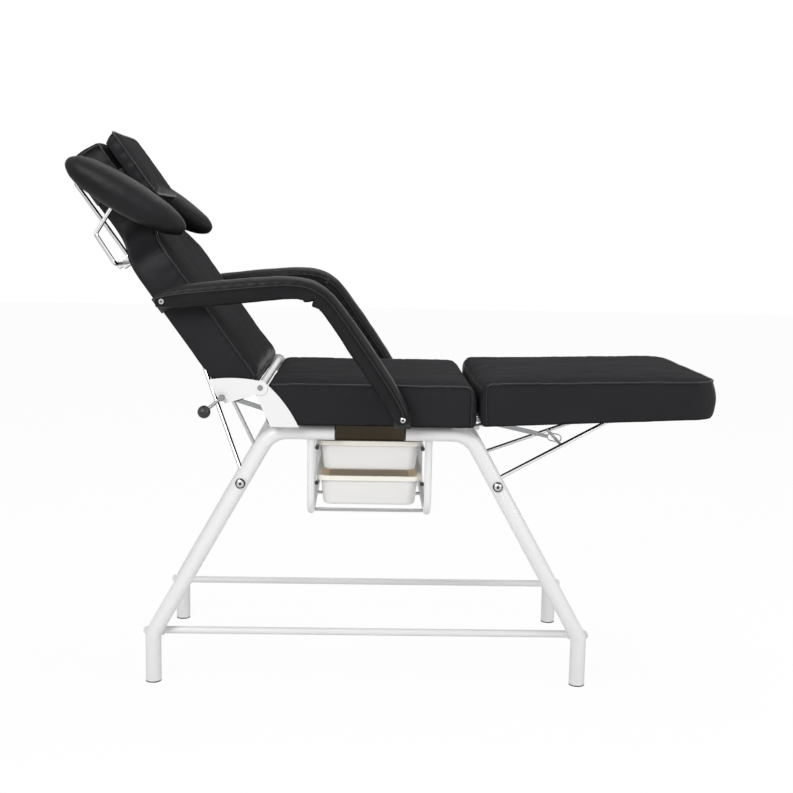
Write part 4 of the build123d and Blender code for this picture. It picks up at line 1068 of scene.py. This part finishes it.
def pillow_mesh():
    """A boxed pillow: full-height sides, a shallow dome, and a head end that leans out over its foot."""
    middle, reach = (PILLOW_LOW + PILLOW_HIGH) / 2, (PILLOW_HIGH - PILLOW_LOW) / 2
    points, flat = [], []
    for i in range(PILLOW_ROWS + 1):
        s = spread(i, PILLOW_ROWS)
        a = middle + s * reach
        half = PILLOW_HALF - rounded_in(reach - abs(a - middle), PILLOW_CORNER)
        for j in range(PILLOW_COLUMNS + 1):
            t = spread(j, PILLOW_COLUMNS)
            dome = math.sqrt(max(1 - abs(s) ** 3, 0.0) * max(1 - abs(t) ** 6, 0.0))
            flat.append((a, t * half))
            points.append(back_point(a, t * half, PILLOW_RIM + PILLOW_DOME * dome))
    faces, rim = grid(PILLOW_ROWS, PILLOW_COLUMNS)
    loop = rim
    for k in range(1, PILLOW_LEVELS + 1):
        down = k / PILLOW_LEVELS
        bulge = PILLOW_BULGE * math.sin(math.pi * down)
        height = PILLOW_RIM + (PILLOW_UNDER - PILLOW_RIM) * down
        ring = list(range(len(points), len(points) + len(rim)))
        for a, b in (flat[n] for n in rim):
            out = (a - middle) / reach
            lean = PILLOW_LEAN * down * max(out, 0.0) ** 3
            wide = 1 + bulge / PILLOW_HALF - 0.02 * down
            points.append(back_point(a - lean + bulge * out, b * wide, height))
        faces += band(loop, ring)
        loop = ring
    faces += closing_faces(loop, PILLOW_COLUMNS, PILLOW_ROWS)
    top = [points[n].copy() for n in rim]
    return points, faces, sorted({*rim, *loop}), [top + [top[0].copy()]]


def make_pillow(look):
    """The head pillow's cover and piping."""
    points, faces, sewn, lines = pillow_mesh()
    piece = new_piece("head_pillow_cover", points, faces, cover_material(look))
    inflate(piece, sewn, look.pressure * 0.5, 0.003)
    subdivide(piece, 1, sewn)
    creased(piece, 0.06, 0.001, 21)
    gather(piece, lines, 0.0008, 0.010, 0.0045)
    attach(piece, "back")
    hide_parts("head_pillow")
    trim(piece.name, "back", [snapped(piece, line, 0.0002) for line in lines], look)


# Sizes and colours


def colour_of(name, description, value):
    limits = {"subtype": "COLOR", "min": 0, "max": 1}
    return FloatVectorProperty(name=name, description=description, default=value, **limits)


def share_of(name, description, value):
    limits = {"subtype": "FACTOR", "min": 0, "max": 1}
    return FloatProperty(name=name, description=description, default=value, **limits)


class ChairLook(PropertyGroup):
    leather_colour: colour_of("Leather colour", "Colour of the covers", (0.0116, 0.0110, 0.0124))
    leather_roughness: share_of("Leather roughness", "How matt the covers are", 0.43)
    flat_roughness: share_of("Flat roughness", "How much duller the leather is where it lies flat", 0.5)
    leather_gloss: share_of("Leather gloss", "Strength of the covers' sheen", 0.14)
    grain_strength: share_of("Grain strength", "Depth of the leather's grain", 0.22)
    piping_diameter: FloatProperty(
        name="Piping diameter",
        description="Thickness of the cord in the seams",
        default=0.0054,
        unit="LENGTH",
    )
    pressure: FloatProperty(
        name="Stuffing pressure",
        description="How hard the foam fills the covers",
        default=4.0,
        min=0,
        max=20,
    )


class StudioLook(PropertyGroup):
    paint_colour: colour_of("Frame colour", "Colour of the painted tubes and plates", (0.82, 0.82, 0.82))
    tray_colour: colour_of("Tray colour", "Colour of the trays' outside", (0.78, 0.775, 0.76))
    floor_colour: colour_of("Floor colour", "Colour of the floor", (0.92, 0.92, 0.92))
    fill_light: FloatProperty(
        name="Fill light",
        description="Brightness of the surroundings on the chair",
        default=0.38,
        min=0,
        max=2,
    )


# Which pieces have which finish
WHITE_NODES = ("head_legs", "foot_legs", "cross_tubes", "side_stretchers", "rack_hoops", "seat_plates")
WHITE_NODES += ("back_plates", "recline_axle", "leg_hinges_fixed", "leg_hinges_moving", "stay_brackets")
CHROME_NODES = ("leg_hinge_pins", "rear_rails", "pad_clamps", "back_support", "leg_support")
CHROME_NODES += ("pad_holder_right", "pad_holder_left", "wing_screw_right", "wing_screw_left")
RAIL_NODES = ("rack_bars", "tray_rails")
DULL_NODES = ("release_lever", "recline_pins")
ZINC_NODES = ("back_stay_channel", "back_stay_rack", "leg_stay_channel", "leg_stay_rack")
BLACK_METAL_NODES = ("arm_foot_brackets", "arm_back_lugs", "lower_arm_bar_right", "lower_arm_bar_left")
BLACK_METAL_NODES += ("upper_arm_bar_right", "upper_arm_bar_left", "seat_plate_screws", "back_plate_screws")
BOARD_NODES = ("seat_board", "back_board", "leg_rest_board")
BLACK_PLASTIC_NODES = ("tube_caps", "rail_caps", "lever_knob")

# Radius of each node's round bolt heads
BOLT_HEADS = {
    "frame_bolts": 0.0125,
    "stretcher_bolts": 0.008,
    "arm_foot_bolts": 0.008,
    "arm_back_bolt_right": 0.008,
    "arm_back_bolt_left": 0.008,
}

# How strongly each tray's inner walls glow: painted light, standing in for light through the walls
TRAYS = {"upper_tray": 0.03, "lower_tray": 0.17}

SIDES = ((-1, "right"), (1, "left"))


def dress(names, material):
    """Gives CAD nodes a finish."""
    for name in names:
        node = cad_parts[name]
        if not node.material_slots:
            node.data.materials.append(material)
        for place in node.material_slots:
            place.material = material


def cover_material(look):
    """The cushions' leather."""
    name = "black_leather_cover"
    return bpy.data.materials.get(name) or leather(name, look, dull=look.flat_roughness, gloss=0.6)


def sleeve_material(look):
    """The same leather drawn tight over the armrests and arm pads, its colour darkened by a lift of 0.85 as
    painted shade.
    """
    name = "black_leather_sleeve"
    return bpy.data.materials.get(name) or leather(name, look, 0.85)


def piping_material(look):
    """The same leather stretched over the cord, glossier, with its colour lifted a little lighter as a
    painted highlight.
    """
    name = "black_leather_piping"
    return bpy.data.materials.get(name) or leather(name, look, 1.1, gloss=1.8)


def thread_material():
    # A dark grey thread: partly its own tone, partly a painted highlight that makes the stitch rows read as a
    # faint light line.
    name = "black_thread"
    return bpy.data.materials.get(name) or moulded_plastic(name, (0.030, 0.030, 0.032), 0.5)


# Camera, floor, backdrop and lamps

# The camera's place in metres, its lens in millimetres, and its turn in degrees
CAMERA_PLACE = (-0.0647, -3.1213, 1.1069)
CAMERA_LENS = 55.31
CAMERA_YAW, CAMERA_PITCH, CAMERA_ROLL = 1.530, 7.837, 1.135

# Name, place, what it points at, size and power of each lamp
LAMPS = (
    ("key_lamp", (-1.6, -3.0, 2.6), (0.0, 0.0, 0.7), 1.6, 74.0),
    ("top_lamp", (0.4, 0.6, 3.6), (0.0, 0.0, 0.7), 2.6, 50.0),
    ("side_lamp", (2.8, -1.6, 1.8), (0.1, 0.0, 0.7), 1.6, 30.0),
)
WHITE = (1, 1, 1, 1)

# Half the floor's side, and how much of its white is its own when the camera looks at it
FLOOR_REACH = 14.0
FLOOR_WHITE = 0.96


def place_camera(scene):
    camera = bpy.data.objects.new("camera", bpy.data.cameras.new("camera"))
    scene.collection.objects.link(camera)
    camera.data.sensor_width = 36
    camera.data.lens = CAMERA_LENS
    yaw, pitch, roll = (math.radians(turn) for turn in (CAMERA_YAW, CAMERA_PITCH, CAMERA_ROLL))
    ahead = Vector((math.sin(yaw) * math.cos(pitch), math.cos(yaw) * math.cos(pitch), -math.sin(pitch)))
    right = Vector((math.cos(yaw), -math.sin(yaw), 0))
    up = right.cross(ahead)
    turned_right = right * math.cos(roll) + up * math.sin(roll)
    turned_up = up * math.cos(roll) - right * math.sin(roll)
    pose = Matrix((turned_right, turned_up, -ahead)).transposed().to_4x4()
    pose.translation = Vector(CAMERA_PLACE)
    camera.matrix_world = pose
    scene.camera = camera


def lay_floor(scene, studio):
    """A white floor that keeps the chair's shadow."""
    mesh = bpy.data.meshes.new("floor")
    corners = [(x * FLOOR_REACH, y * FLOOR_REACH, 0) for x, y in ((-1, -1), (1, -1), (1, 1), (-1, 1))]
    mesh.from_pydata(corners, [], [(0, 1, 2, 3)])
    floor = bpy.data.objects.new("floor", mesh)
    scene.collection.objects.link(floor)
    f = Finish("pale_floor")
    sockets = {"Base Color": (*studio.floor_colour, 1), "Roughness": 0.9, "Specular IOR Level": 0.0}
    shader = f.node("ShaderNodeBsdfPrincipled", {}, sockets)
    white = f.node("ShaderNodeEmission", {}, {"Color": WHITE, "Strength": 1.0})
    seen = f.node("ShaderNodeLightPath", out="Is Camera Ray")
    mixed = f.node("ShaderNodeMixShader", {}, {0: seen * FLOOR_WHITE, 1: shader, 2: white})
    mesh.materials.append(f.ended(mixed))


def hang_backdrop(scene, studio):
    """White to the camera and in reflections, dimmer as a light."""
    f = Finish("pale_studio", bpy.data.worlds)
    seen = f.node("ShaderNodeLightPath", out="Is Camera Ray")
    for ray in ("Is Glossy Ray", "Is Transmission Ray"):
        seen = seen.higher(f.node("ShaderNodeLightPath", out=ray))
    level = f.node("ShaderNodeMapRange", {}, {"Value": seen, "To Min": studio.fill_light, "To Max": 1.0})
    sky = f.node("ShaderNodeBackground", {}, {"Color": WHITE, "Strength": level})
    scene.world = f.ended(sky, "ShaderNodeOutputWorld")


def place_lamps(scene):
    for name, place, target, size, power in LAMPS:
        lamp = bpy.data.objects.new(name, bpy.data.lights.new(name, "AREA"))
        lamp.data.size = size
        lamp.data.energy = power
        lamp.location = place
        lamp.rotation_euler = (Vector(target) - Vector(place)).to_track_quat("-Z", "Y").to_euler()
        scene.collection.objects.link(lamp)


class CHAIR_OT_stage(Operator):
    """Camera, floor, backdrop colour and plain lamps"""

    bl_idname = "chair.stage"
    bl_label = "Stage"

    def execute(self, context):
        scene = context.scene
        scene.view_settings.view_transform = "Standard"
        place_camera(scene)
        lay_floor(scene, scene.studio_look)
        hang_backdrop(scene, scene.studio_look)
        place_lamps(scene)
        return {"FINISHED"}


class CHAIR_OT_sewing(Operator):
    """The node trees that lay piping and stitches along seams"""

    bl_idname = "chair.sewing"
    bl_label = "Piping and stitches"

    def execute(self, context):
        piping_tree()
        stitch_tree()
        return {"FINISHED"}


class CHAIR_OT_cushions(Operator):
    """Seat, back and leg-rest upholstery"""

    bl_idname = "chair.cushions"
    bl_label = "Cushions"

    def execute(self, context):
        for name in CUSHIONS:
            make_cushion(name, context.scene.chair_look)
        return {"FINISHED"}


class CHAIR_OT_armrests(Operator):
    """Padded sleeves of the two armrests"""

    bl_idname = "chair.armrests"
    bl_label = "Armrests"

    def execute(self, context):
        for side, label in SIDES:
            make_armrest(side, label, context.scene.chair_look)
        return {"FINISHED"}


class CHAIR_OT_arm_pads(Operator):
    """Spindle pads at the head end"""

    bl_idname = "chair.arm_pads"
    bl_label = "Head-end arm pads"

    def execute(self, context):
        for side, label in SIDES:
            make_arm_pad(side, label, context.scene.chair_look)
        return {"FINISHED"}


class CHAIR_OT_pillow(Operator):
    """Head pillow"""

    bl_idname = "chair.pillow"
    bl_label = "Head pillow"

    def execute(self, context):
        make_pillow(context.scene.chair_look)
        return {"FINISHED"}


class CHAIR_OT_metalwork(Operator):
    """Paint, chrome and zinc of the frame, supports and fasteners"""

    bl_idname = "chair.metalwork"
    bl_label = "Metalwork"

    def execute(self, context):
        white = tuple(context.scene.studio_look.paint_colour)
        dress(WHITE_NODES, gloss_paint("white_powder_coat", white, 0.28))
        dress(BLACK_METAL_NODES, gloss_paint("black_powder_coat", (0.014, 0.014, 0.015), 0.4))
        # Each plating: name, its painted bright reflection colour, its painted dark reflection colour, the
        # axis it is bright along, roughness and streaks.
        for nodes, plating in (
            (CHROME_NODES, ("polished_chrome", (0.86, 0.86, 0.87), (0.10, 0.10, 0.105), "Y", 0.07, 0.05)),
            (RAIL_NODES, ("rail_chrome", (0.86, 0.86, 0.87), (0.42, 0.42, 0.43), "Z", 0.16, 0.06)),
            (DULL_NODES, ("dull_plate", (0.34, 0.34, 0.35), (0.08, 0.08, 0.08), "Y", 0.3, 0.1)),
            (ZINC_NODES, ("zinc_plate", (0.42, 0.43, 0.44), (0.10, 0.10, 0.105), "Y", 0.28, 0.16)),
        ):
            dress(nodes, plated_metal(*plating))
        for node, radius in BOLT_HEADS.items():
            dress((node,), bolt_head(node + "_plating", node, radius))
        return {"FINISHED"}


class CHAIR_OT_trays(Operator):
    """Trays, lined boards, caps, knob and strap"""

    bl_idname = "chair.trays"
    bl_label = "Trays, boards and plastics"

    def execute(self, context):
        studio = context.scene.studio_look
        for name, glow in TRAYS.items():
            dress((name,), tray_plastic(name + "_plastic", studio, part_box(name)[1].z, glow))
        dress(BOARD_NODES, lining("black_lining"))
        black = moulded_plastic("black_moulded_plastic", (0.018, 0.018, 0.018), 0.35)
        dress(BLACK_PLASTIC_NODES, black)
        dress(("pillow_strap",), webbing("black_webbing"))
        return {"FINISHED"}


class CHAIR_PT_chair(Panel):
    """The chair's pieces and looks in the sidebar"""

    bl_idname = "CHAIR_PT_chair"
    bl_label = "Tattoo chair"
    bl_space_type = "VIEW_3D"
    bl_region_type = "UI"
    bl_category = "Tattoo chair"

    def draw(self, context):
        for group in (context.scene.chair_look, context.scene.studio_look):
            for name in group.__annotations__:
                self.layout.prop(group, name)
        for step in STEPS:
            self.layout.operator(step.bl_idname)


STEPS = (
    CHAIR_OT_stage,
    CHAIR_OT_sewing,
    CHAIR_OT_cushions,
    CHAIR_OT_armrests,
    CHAIR_OT_arm_pads,
    CHAIR_OT_pillow,
    CHAIR_OT_metalwork,
    CHAIR_OT_trays,
)
CLASSES = (ChairLook, StudioLook, *STEPS, CHAIR_PT_chair)


def register():
    for item in CLASSES:
        bpy.utils.register_class(item)
    bpy.types.Scene.chair_look = PointerProperty(type=ChairLook)
    bpy.types.Scene.studio_look = PointerProperty(type=StudioLook)


def unregister():
    del bpy.types.Scene.studio_look
    del bpy.types.Scene.chair_look
    for item in reversed(CLASSES):
        bpy.utils.unregister_class(item)


def main():
    register()
    bpy.ops.chair.stage()
    bpy.ops.chair.sewing()
    bpy.ops.chair.cushions()
    bpy.ops.chair.armrests()
    bpy.ops.chair.arm_pads()
    bpy.ops.chair.pillow()
    bpy.ops.chair.metalwork()
    bpy.ops.chair.trays()
    bpy.context.view_layer.update()


if __name__ == "__main__":
    main()
